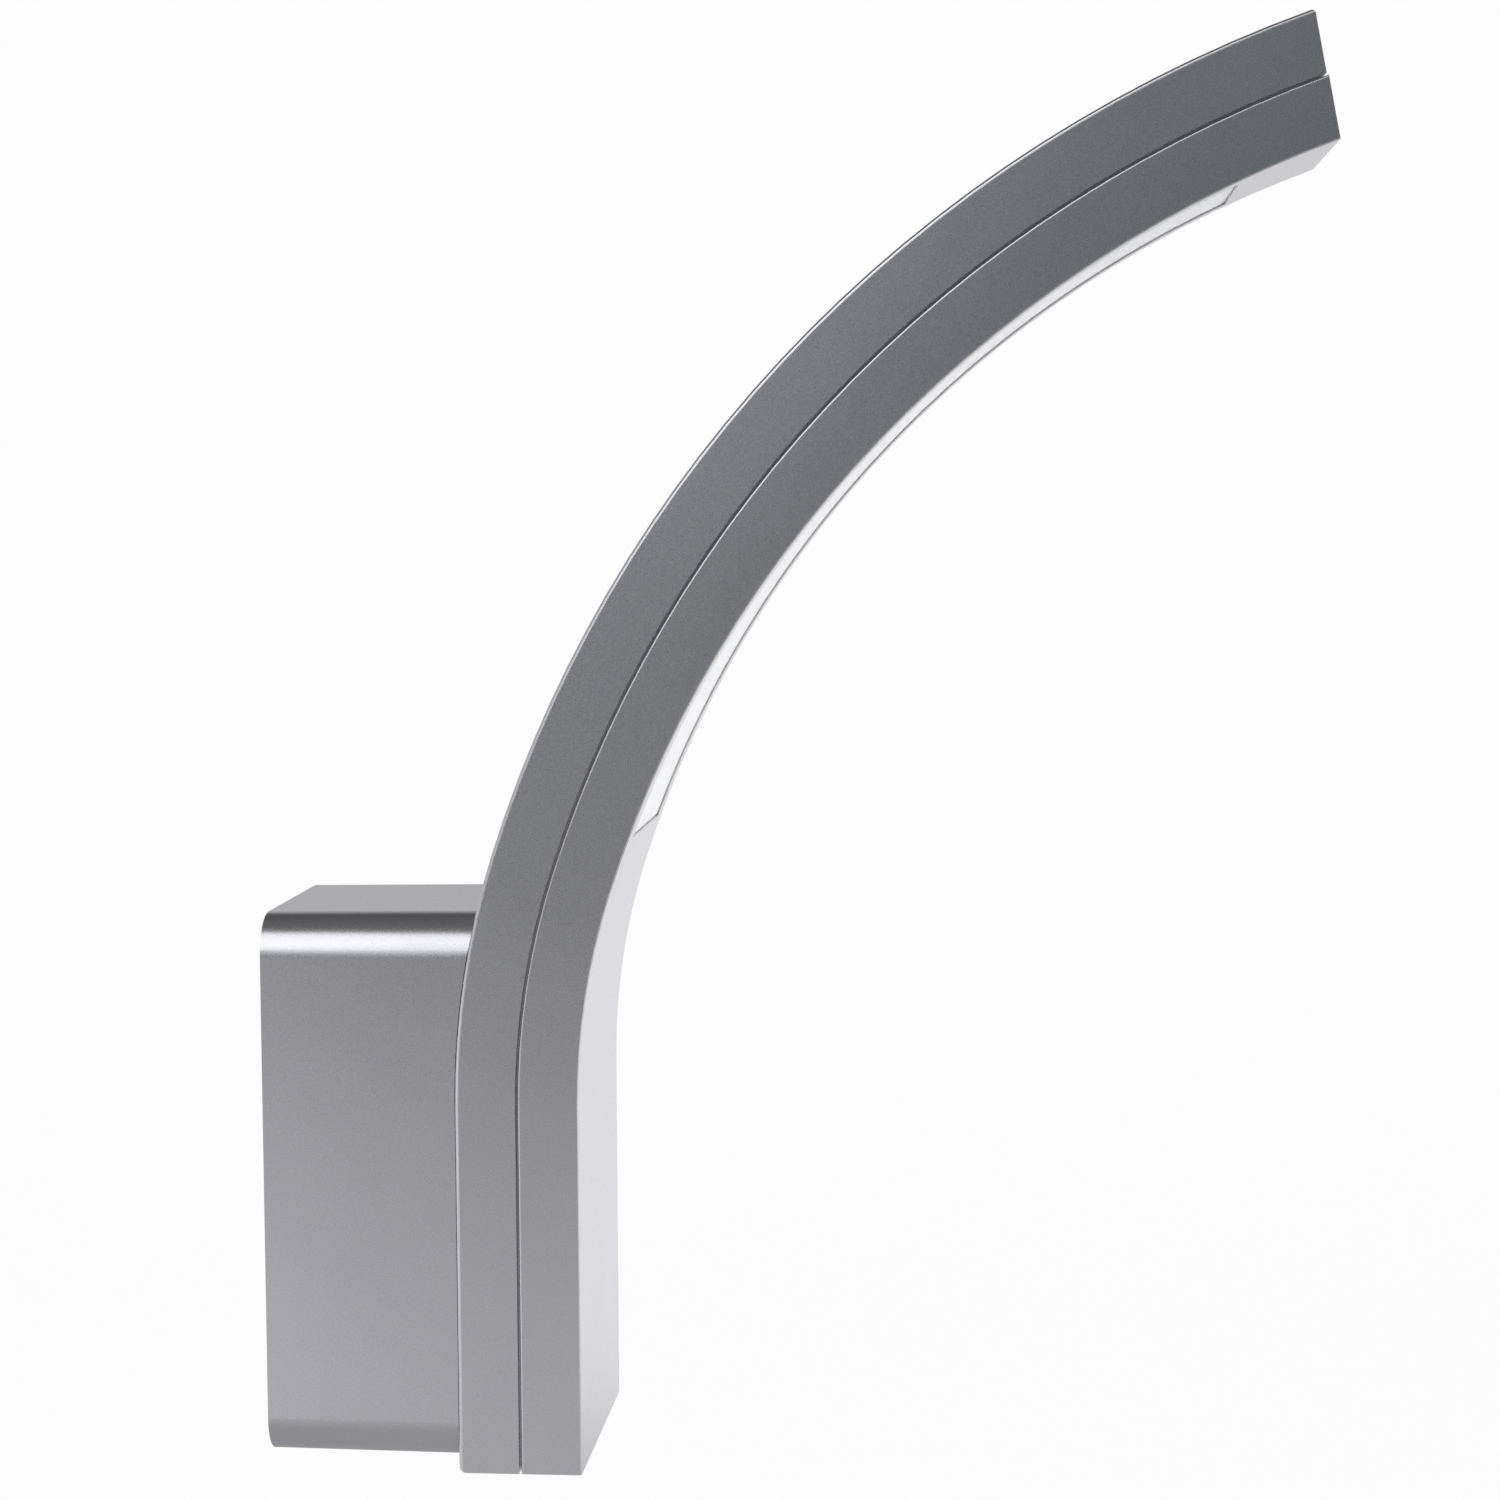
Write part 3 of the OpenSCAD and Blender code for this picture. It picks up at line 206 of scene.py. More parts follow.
class Group(Sheet):
    """A shader node group in the making, with its input and output nodes."""

    def __init__(self, name: str, inputs: dict[str, tuple[str, Any]],
                 outputs: dict[str, str]) -> None:
        """Starts the group.

        Args:
            name: The group's name.
            inputs: Input names, each with its socket type and usual value.
            outputs: Output names, each with its socket type.
        """
        super().__init__(bpy.data.node_groups.new(name, "ShaderNodeTree"))
        for label, (kind, value) in inputs.items():
            socket = self.tree.interface.new_socket(name=label, in_out="INPUT", socket_type=kind)
            socket.default_value = value
        for label, kind in outputs.items():
            self.tree.interface.new_socket(name=label, in_out="OUTPUT", socket_type=kind)
        self.start = self.add("NodeGroupInput")
        self.end = self.add("NodeGroupOutput")

    def given(self, label: str) -> Socket:
        """Gives the socket of one input."""
        return self.start.outputs[label]

    def close(self, results: dict[str, Socket]) -> Tree:
        """Wires the outputs.

        Args:
            results: Output names, each with the socket that it puts out.

        Returns:
            The finished group.
        """
        for label, source in results.items():
            self.wire(source, self.end.inputs[label])
        return self.tree


def grain_group(pattern: Pattern) -> Group:
    """Starts a grain group with the inputs and outputs that all grains share."""
    return Group(pattern.value, {"Vector": (VECTOR, ZERO), "Scale": (NUMBER, 2000.0)},
                 {"Height": NUMBER, "Gloss": NUMBER, "Shade": NUMBER})


@dataclass(frozen=True)
class PaintFlake:
    """The grain of metallic paint: tiny flakes of uneven brightness under a smooth skin."""

    spark_power: float = 9.0
    plain_span: float = 0.30
    plain_least: float = 0.25
    skin_detail: float = 2.0

    def build(self) -> Tree:
        """Builds the group.

        Returns:
            The group, which puts out height, gloss and shade from 0 to 1.
        """
        group = grain_group(Pattern.FLAKE)
        place, scale = group.given("Vector"), group.given("Scale")
        flakes = group.cells(place, scale)
        chance = group.add("ShaderNodeSeparateColor", {}, {0: flakes.outputs["Color"]}).outputs
        spark = group.reckon("POWER", chance[0], self.spark_power)
        plain = group.reckon("MULTIPLY_ADD", chance[1], self.plain_span, self.plain_least)
        skin = group.noise(place, scale, self.skin_detail)
        return group.close({"Height": skin.outputs["Fac"], "Gloss": chance[2],
                            "Shade": group.reckon("MAXIMUM", spark, plain)})


@dataclass(frozen=True)
class MouldedGrain:
    """The fine even grain that a spark-eroded mould leaves on plastic."""

    detail: float = 3.0
    roughness: float = 0.6
    cell_share: float = 0.5
    low: float = 0.3
    high: float = 0.7

    def build(self) -> Tree:
        """Builds the group.

        Returns:
            The group, which puts out height, gloss and shade from 0 to 1.
        """
        group = grain_group(Pattern.ERODED)
        place, scale = group.given("Vector"), group.given("Scale")
        fine = group.noise(place, scale, self.detail, self.roughness).outputs["Fac"]
        cells = group.cells(place, scale).outputs["Distance"]
        even = group.spread(fine, self.low, self.high)
        return group.close({"Height": group.reckon("MULTIPLY_ADD", cells, self.cell_share, fine),
                            "Gloss": even, "Shade": even})


@dataclass(frozen=True)
class RolledLines:
    """The long fine lines of rolled or drawn metal; the finish stretches them."""

    detail: float = 4.0
    roughness: float = 0.7
    low: float = 0.25
    high: float = 0.75

    def build(self) -> Tree:
        """Builds the group.

        Returns:
            The group, which puts out height, gloss and shade from 0 to 1.
        """
        group = grain_group(Pattern.ROLLED)
        place, scale = group.given("Vector"), group.given("Scale")
        lines = group.noise(place, scale, self.detail, self.roughness)
        even = group.spread(lines.outputs["Fac"], self.low, self.high)
        return group.close({"Height": even, "Gloss": even, "Shade": even})


@dataclass(frozen=True)
class ZincSpangle:
    """The flat crystals of a zinc coat, each with its own shade and gloss."""

    bend_detail: float = 2.0
    bend: float = 0.0012

    def build(self) -> Tree:
        """Builds the group.

        Returns:
            The group, which puts out height, gloss and shade from 0 to 1.
        """
        group = grain_group(Pattern.SPANGLE)
        place, scale = group.given("Vector"), group.given("Scale")
        clouds = group.noise(place, scale, self.bend_detail)
        push = group.add("ShaderNodeVectorMath", {"operation": "SCALE"},
                         {0: clouds.outputs["Color"], "Scale": self.bend})
        bent = group.add("ShaderNodeVectorMath", {"operation": "ADD"},
                         {0: place, 1: push.outputs[0]})
        crystals = group.cells(bent.outputs[0], scale)
        chance = group.add("ShaderNodeSeparateColor", {}, {0: crystals.outputs["Color"]}).outputs
        return group.close({"Height": crystals.outputs["Distance"], "Gloss": chance[1],
                            "Shade": chance[0]})


@dataclass(frozen=True)
class Mottle:
    """The slow, cloudy change of shade over a surface, with the grain's own shade in it."""

    detail: float = 4.0
    roughness: float = 0.55
    low: float = 0.3
    high: float = 0.7

    def build(self) -> Tree:
        """Builds the group.

        Returns:
            The group, which puts out a colour between the two that it is given.
        """
        group = Group("mottle", {
            "Vector": (VECTOR, ZERO), "Scale": (NUMBER, 40.0),
            "Shade": (NUMBER, 0.5), "Shade Share": (NUMBER, 0.4),
            "Light": (COLOUR, (0.8, 0.8, 0.8, 1.0)), "Dark": (COLOUR, (0.6, 0.6, 0.6, 1.0)),
        }, {"Color": COLOUR})
        place, scale = group.given("Vector"), group.given("Scale")
        cloud = group.noise(place, scale, self.detail, self.roughness)
        slow = group.spread(cloud.outputs["Fac"], self.low, self.high)
        mask = group.add("ShaderNodeMix", {"data_type": "FLOAT"},
                         {MIX_SHARE: group.given("Shade Share"), MIX_NUMBER_A: slow,
                          MIX_NUMBER_B: group.given("Shade")}).outputs[MIX_NUMBER_OUT]
        return group.close({"Color": group.blend(mask, group.given("Dark"), group.given("Light"))})


@dataclass(frozen=True)
class WornEdge:
    """The edges that hands and tools have rubbed."""

    samples: int = 4
    flat: float = 0.99
    sharp: float = 0.86
    patch_scale: float = 700.0
    patch_detail: float = 3.0
    patch_low: float = 0.35
    patch_high: float = 0.6

    def build(self) -> Tree:
        """Builds the group.

        Returns:
            The group, which puts out a mask from 0 on flats to 1 on edges, and a rounded normal.
        """
        group = Group("worn_edge", {"Vector": (VECTOR, ZERO), "Radius": (NUMBER, 0.0004)},
                      {"Mask": NUMBER, "Normal": VECTOR})
        rounded = group.add("ShaderNodeBevel", {"samples": self.samples},
                            {"Radius": group.given("Radius")}).outputs[0]
        surface = group.add("ShaderNodeNewGeometry")
        alike = group.add("ShaderNodeVectorMath", {"operation": "DOT_PRODUCT"},
                          {0: rounded, 1: surface.outputs["Normal"]})
        edge = group.spread(alike.outputs["Value"], self.flat, self.sharp)
        patches = group.noise(group.given("Vector"), self.patch_scale, self.patch_detail)
        broken = group.spread(patches.outputs["Fac"], self.patch_low, self.patch_high)
        return group.close({"Mask": group.reckon("MULTIPLY", edge, broken), "Normal": rounded})


@dataclass(frozen=True)
class Groove:
    """Painted shade in narrow grooves and inner corners: their colour darkens where nearby surfaces
    hide much of the surroundings.
    """

    samples: int = 6
    open: float = 0.92
    deep: float = 0.30

    def build(self) -> Tree:
        """Builds the group.

        Returns:
            The group, which puts out a mask from 0 in the open to 1 deep in a groove.
        """
        group = Group("groove", {"Reach": (NUMBER, 0.0012)}, {"Mask": NUMBER})
        # Painted shade: ambient occlusion within the reach becomes the mask that darkens the
        # colour.
        sky = group.add("ShaderNodeAmbientOcclusion", {"samples": self.samples},
                        {"Distance": group.given("Reach")})
        return group.close({"Mask": group.spread(sky.outputs["AO"], self.open, self.deep)})


@dataclass(frozen=True)
class StudioTone:
    """The tone that bright metal sees in each direction: pale paper behind, a grey room in front.

    A stop is a lift in degrees, a brightness and a share of red. The room begins at one
    forward part of the direction and is full at another, and is brighter towards its
    window, on the side of the wall.
    """

    paper: tuple[Stop, ...] = (
        (-90.0, 0.42, 1.0), (-30.0, 0.46, 1.0), (-25.0, 0.55, 1.0), (-22.9, 0.76, 1.0),
        (-20.8, 1.04, 1.0), (-12.0, 1.06, 1.0), (-6.0, 0.96, 1.0), (0.0, 0.72, 1.0),
        (6.0, 0.63, 1.0), (13.0, 0.64, 1.0), (20.0, 0.56, 1.0), (32.0, 0.26, 1.0),
        (44.0, 0.08, 1.0), (90.0, 0.16, 1.0),
    )
    room: tuple[Stop, ...] = (
        (-90.0, 0.43, 1.0), (-38.0, 0.44, 1.0), (-31.0, 0.55, 1.0), (-27.0, 0.65, 1.0),
        (-23.0, 0.73, 1.0), (-21.0, 0.68, 1.0), (-18.8, 0.655, 1.0), (-16.0, 0.54, 1.0),
        (-13.2, 0.39, 1.0), (-10.7, 0.262, 1.0), (-8.4, 0.19, 1.0), (-5.3, 0.10, 0.98),
        (-2.7, 0.058, 0.96), (0.0, 0.045, 0.90), (3.0, 0.085, 0.80), (7.0, 0.19, 0.83),
        (20.0, 0.19, 0.84), (40.0, 0.14, 0.90), (90.0, 0.22, 0.95),
    )
    room_begins: float = -0.72
    room_full: float = -0.955
    window_begins: float = -0.28
    window_full: float = -0.40
    window_gain: float = 2.4
    blue_for_red: float = 0.1

    def build(self) -> Tree:
        """Builds the group.

        Returns:
            The group, which takes a direction from the object and puts out a colour.
        """
        group = Group("studio_tone", {"Direction": (VECTOR, (0.0, 1.0, 0.0))}, {"Color": COLOUR})
        unit = group.add("ShaderNodeVectorMath", {"operation": "NORMALIZE"},
                         {0: group.given("Direction")})
        part = group.add("ShaderNodeSeparateXYZ", {}, {0: unit.outputs[0]}).outputs
        height = group.reckon("MULTIPLY_ADD", part["Z"], 0.5, 0.5)
        gain = group.spread(part["X"], self.window_begins, self.window_full, 1.0, self.window_gain)
        room = group.add("ShaderNodeVectorMath", {"operation": "SCALE"},
                         {0: self.ramp(group, height, self.room), "Scale": gain})
        front = group.add("ShaderNodeMapRange", {"interpolation_type": "SMOOTHSTEP"},
                          {"Value": part["Y"], "From Min": self.room_begins,
                           "From Max": self.room_full})
        return group.close({"Color": group.blend(
            front.outputs[0], self.ramp(group, height, self.paper), room.outputs[0])})

    def ramp(self, group: Group, height: Socket, tones: tuple[Stop, ...]) -> Socket:
        """Adds the tones by height.

        Args:
            group: The group in the making.
            height: The direction's height, from 0 straight down to 1 straight up.
            tones: The stops, from the lowest to the highest.

        Returns:
            The colour at that height.
        """
        ramp = group.add("ShaderNodeValToRGB", {}, {0: height})
        stops = ramp.color_ramp.elements
        for lift, _, _ in tones[1:-1]:
            stops.new(0.5 + 0.5 * math.sin(math.radians(lift)))
        for stop, (_, tone, red) in zip(stops, tones):
            stop.color = (tone * red, tone, tone * (1.0 + self.blue_for_red * (1.0 - red)), 1.0)
        return ramp.outputs[0]


class Effects:
    """The shared node groups of the finishes, each built once."""

    def __init__(self) -> None:
        """Builds every group."""
        self.grains: dict[Pattern, Tree] = {
            Pattern.FLAKE: PaintFlake().build(),
            Pattern.ERODED: MouldedGrain().build(),
            Pattern.ROLLED: RolledLines().build(),
            Pattern.SPANGLE: ZincSpangle().build(),
        }
        self.mottle = Mottle().build()
        self.worn_edge = WornEdge().build()
        self.groove = Groove().build()


@dataclass(frozen=True)
class Finish:
    """One finish: its colours, gloss, grain, wear, painted shade in grooves and how far each of
    them changes.

    Depths, radii and reaches are in metres. A scale is a count of grains or clouds in a metre.
    """

    slot: Slot
    light: Colour
    dark: Colour
    metallic: float = 0.0
    rough_low: float = 0.4
    rough_high: float = 0.5
    grain: Pattern = Pattern.ERODED
    grain_scale: float = 2500.0
    grain_depth: float = 0.00002
    grain_shade: float = 0.35
    mottle_scale: float = 45.0
    stretch: Triple = (1.0, 1.0, 1.0)
    soft_depth: float = 0.0
    soft_share: float = 0.6
    edge_radius: float = 0.0
    worn: Colour | None = None
    # Reach and strength of the painted shade in grooves and inner corners; with no reach there is
    # no painted shade.
    groove_reach: float = 0.0
    groove_shade: float = 0.45

    def build(self, effects: Effects) -> bpy.types.Material:
        """Builds the material.

        Args:
            effects: The shared node groups.

        Returns:
            The material, ready to be given to pieces.
        """
        material = bpy.data.materials.new(self.slot.value)
        material.use_nodes = True
        sheet = Sheet(material.node_tree)
        material.node_tree.nodes.clear()
        place = sheet.add("ShaderNodeTexCoord")
        along = sheet.add("ShaderNodeMapping", {},
                          {"Vector": place.outputs["Object"], "Scale": self.stretch}).outputs[0]
        grain = sheet.place_group(effects.grains[self.grain],
                                  {"Vector": along, "Scale": self.grain_scale})
        shade = sheet.place_group(effects.mottle,
                                  {"Vector": along, "Scale": self.mottle_scale,
                                   "Shade": grain.outputs["Shade"], "Shade Share": self.grain_shade,
                                   "Light": (*self.light, 1.0), "Dark": (*self.dark, 1.0)})
        rough = sheet.spread(grain.outputs["Gloss"], 0.0, 1.0, self.rough_low, self.rough_high)
        bump = sheet.add("ShaderNodeBump", {}, {"Strength": 1.0, "Distance": self.grain_depth,
                                                "Height": grain.outputs["Height"]})
        colour = shade.outputs["Color"]
        if self.edge_radius > 0:
            colour = self.wear(sheet, effects, along, colour, bump)
        # Painted shade: grooves and inner corners get a darker colour.
        if self.groove_reach > 0:
            colour = self.soil(sheet, effects, colour)
        surface = sheet.add("ShaderNodeBsdfPrincipled", {},
                            {"Base Color": colour, "Roughness": rough, "Metallic": self.metallic,
                             "Normal": bump.outputs[0]})
        if self.soft_depth > 0:
            surface.inputs["Subsurface Weight"].default_value = self.soft_share
            surface.inputs["Subsurface Scale"].default_value = self.soft_depth
            surface.inputs["Subsurface Radius"].default_value = (1.0, 1.0, 1.0)
        sheet.add("ShaderNodeOutputMaterial", {}, {"Surface": surface.outputs[0]})
        return material

    def wear(self, sheet: Sheet, effects: Effects, along: Socket, colour: Socket,
             bump: Node) -> Socket:
        """Adds rounded, rubbed edges.

        Args:
            sheet: The material's sheet.
            effects: The shared node groups.
            along: The pattern's coordinates.
            colour: The colour so far.
            bump: The bump node, which gets the rounded normal.

        Returns:
            The colour with the worn edges in it.
        """
        edge = sheet.place_group(effects.worn_edge, {"Vector": along, "Radius": self.edge_radius})
        sheet.wire(edge.outputs["Normal"], bump.inputs["Normal"])
        if self.worn is None:
            return colour
        return sheet.blend(edge.outputs["Mask"], colour, (*self.worn, 1.0))

    def soil(self, sheet: Sheet, effects: Effects, colour: Socket) -> Socket:
        """Paints shade into grooves and inner corners by darkening their colour.

        Args:
            sheet: The material's sheet.
            effects: The shared node groups.
            colour: The colour so far.

        Returns:
            The colour with painted shade in the grooves.
        """
        deep = sheet.place_group(effects.groove, {"Reach": self.groove_reach})
        # Painted shade: deep in a groove the colour turns to a dimmed copy of the dark tone.
        groove_shaded_colour = (*(part * self.groove_shade for part in self.dark), 1.0)
        return sheet.blend(deep.outputs["Mask"], colour, groove_shaded_colour)


def insulation(slot: Slot, light: Colour, dark: Colour) -> Finish:
    """Makes the finish of a lead's smooth skin."""
    return Finish(slot, light, dark, rough_low=0.28, rough_high=0.38)


def outside_finishes() -> tuple[Finish, ...]:
    """Lists the finishes of the housing, the light window, the bracket and the fasteners.

    Returns:
        The finishes.
    """
    return (
        # Finishes with a groove reach carry painted shade in their grooves. The silver paint's is
        # broad and soft, as where the arm meets the box.
        Finish(Slot.SILVER_PAINT, (0.675, 0.668, 0.714), (0.600, 0.593, 0.640), metallic=1.0,
               rough_low=0.270, rough_high=0.292, grain=Pattern.FLAKE, grain_scale=3600.0,
               grain_depth=0.000004, grain_shade=0.70, mottle_scale=35.0,
               groove_reach=0.0022, groove_shade=0.86),
        Finish(Slot.OPAL_PLASTIC, (0.915, 0.92, 0.94), (0.895, 0.90, 0.92),
               rough_low=0.38, rough_high=0.46, grain_scale=3500.0, grain_depth=0.00001,
               soft_depth=0.002),
        Finish(Slot.GALVANISED_SHEET, (0.66, 0.67, 0.68), (0.50, 0.51, 0.53), metallic=1.0,
               rough_low=0.30, rough_high=0.46, grain=Pattern.SPANGLE, grain_scale=260.0,
               grain_depth=0.000006, grain_shade=0.8, mottle_scale=160.0,
               edge_radius=0.0004, worn=(0.78, 0.78, 0.79), groove_reach=0.0015),
        Finish(Slot.ZINC_SCREW, (0.70, 0.70, 0.69), (0.60, 0.60, 0.58), metallic=1.0,
               rough_low=0.2, rough_high=0.34, grain_scale=4000.0, grain_depth=0.000003,
               mottle_scale=300.0, edge_radius=0.0002, worn=(0.80, 0.80, 0.79),
               groove_reach=0.0008),
    )


def inside_finishes() -> tuple[Finish, ...]:
    """Lists the finishes of the light strip, the power supply, the terminals and the leads.

    Returns:
        The finishes.
    """
    return (
        Finish(Slot.SPRING_STEEL, (0.55, 0.55, 0.57), (0.46, 0.46, 0.48), metallic=1.0,
               rough_low=0.25, rough_high=0.38, grain=Pattern.ROLLED, grain_scale=1500.0,
               grain_depth=0.000004, grain_shade=0.5, mottle_scale=120.0, stretch=(0.1, 1.0, 1.0)),
        Finish(Slot.BLACK_RUBBER, (0.030, 0.030, 0.031), (0.018, 0.018, 0.018),
               rough_low=0.6, rough_high=0.8, grain_depth=0.00003, mottle_scale=200.0),
        Finish(Slot.ALUMINIUM_STRIP, (0.76, 0.77, 0.78), (0.68, 0.69, 0.70), metallic=1.0,
               rough_low=0.25, rough_high=0.4, grain=Pattern.ROLLED, grain_scale=1500.0,
               grain_depth=0.000004, grain_shade=0.5, mottle_scale=80.0, stretch=(1.0, 0.1, 1.0)),
        Finish(Slot.WHITE_BOARD, (0.86, 0.87, 0.85), (0.82, 0.83, 0.81),
               rough_low=0.3, rough_high=0.4, grain_scale=2000.0, grain_depth=0.00001),
        Finish(Slot.YELLOW_PHOSPHOR, (0.85, 0.70, 0.16), (0.78, 0.60, 0.10),
               rough_low=0.2, rough_high=0.3, grain_scale=5000.0, grain_depth=0.00001,
               mottle_scale=400.0),
        Finish(Slot.WHITE_CONNECTOR, (0.86, 0.86, 0.83), (0.80, 0.80, 0.77),
               rough_low=0.3, rough_high=0.42),
        Finish(Slot.WHITE_CASE, (0.78, 0.78, 0.76), (0.72, 0.72, 0.70),
               rough_low=0.42, rough_high=0.56, grain_scale=1800.0, grain_depth=0.00005),
        Finish(Slot.GREEN_BOARD, (0.02, 0.17, 0.06), (0.015, 0.12, 0.04),
               rough_low=0.25, rough_high=0.35),
        Finish(Slot.DARK_CORE, (0.05, 0.045, 0.04), (0.035, 0.03, 0.03),
               rough_low=0.5, rough_high=0.65),
        Finish(Slot.CAPACITOR_SLEEVE, (0.012, 0.02, 0.07), (0.008, 0.014, 0.05),
               rough_low=0.2, rough_high=0.3),
        Finish(Slot.NATURAL_BLOCK, (0.80, 0.77, 0.66), (0.74, 0.70, 0.58),
               grain_scale=2000.0, grain_depth=0.00004, soft_depth=0.001),
        Finish(Slot.BRASS_CLAMP, (0.72, 0.50, 0.20), (0.62, 0.41, 0.15), metallic=1.0,
               rough_low=0.2, rough_high=0.32, mottle_scale=300.0),
        insulation(Slot.BROWN_INSULATION, (0.12, 0.05, 0.02), (0.10, 0.04, 0.016)),
        insulation(Slot.BLUE_INSULATION, (0.02, 0.06, 0.40), (0.016, 0.05, 0.33)),
        insulation(Slot.EARTH_INSULATION, (0.15, 0.36, 0.02), (0.12, 0.30, 0.02)),
        insulation(Slot.RED_INSULATION, (0.42, 0.012, 0.012), (0.36, 0.01, 0.01)),
        insulation(Slot.BLACK_INSULATION, (0.016, 0.016, 0.016), (0.012, 0.012, 0.012)),
    )


@dataclass
class FinishShelf:
    """Holds the made materials and gives them to pieces."""

    effects: Effects
    made: dict[Slot, bpy.types.Material] = field(default_factory=dict)

    def build(self) -> None:
        """Makes every material once."""
        for finish in (*outside_finishes(), *inside_finishes()):
            self.made[finish.slot] = finish.build(self.effects)

    def dress(self, piece: bpy.types.Object, slot: Slot) -> None:
        """Gives a piece the finish of a slot."""
        piece.data.materials.clear()
        piece.data.materials.append(self.made[slot])


@dataclass(frozen=True)
class Camera:
    """The camera at the photograph's viewing angle: its place, its three axes and its lens."""

    place: Triple = (0.171849, -0.738284, 0.157957)
    right: Triple = (0.99631367, 0.08562737, -0.00519775)
    up: Triple = (-0.00184756, 0.08199463, 0.99663106)
    back: Triple = (0.08576508, -0.99294755, 0.08185057)
    lens: float = 77.194
    sensor: float = 36.0
    nearest: float = 0.01
    farthest: float = 60.0

    def build(self) -> None:
        """Makes the camera and makes it the scene's own."""
        data = bpy.data.cameras.new("camera")
        data.lens = self.lens
        data.sensor_width = self.sensor
        data.clip_start = self.nearest
        data.clip_end = self.farthest
        camera = bpy.data.objects.new("camera", data)
        bpy.context.scene.collection.objects.link(camera)
        turn = Matrix((self.right, self.up, self.back)).transposed().to_4x4()
        camera.matrix_world = Matrix.Translation(Vector(self.place)) @ turn
        bpy.context.scene.camera = camera


@dataclass(frozen=True)
class Lamp:
    """One soft lamp, which faces the studio's eye.

    Its side, from the front towards +X, and its lift are in degrees, its distance, width and
    height in metres.
    """

    name: str
    side: float
    lift: float
    distance: float
    width: float
    height: float
    watts: float
    seen_by_metal: bool = True

    def build(self, eye: Vector) -> None:
        """Makes the lamp.

        Args:
            eye: The point that it faces.
        """
        data = bpy.data.lights.new(self.name, "AREA")
        data.shape = "RECTANGLE"
        data.size, data.size_y = self.width, self.height
        data.energy = self.watts
        lamp = bpy.data.objects.new(self.name, data)
        lamp.visible_glossy = self.seen_by_metal
        bpy.context.scene.collection.objects.link(lamp)
        side, lift = math.radians(self.side), math.radians(self.lift)
        away = Vector((math.cos(lift) * math.sin(side), -math.cos(lift) * math.cos(side),
                       math.sin(lift)))
        facing = (-away).to_track_quat("-Z", "Y").to_matrix().to_4x4()
        lamp.matrix_world = Matrix.Translation(eye + self.distance * away) @ facing


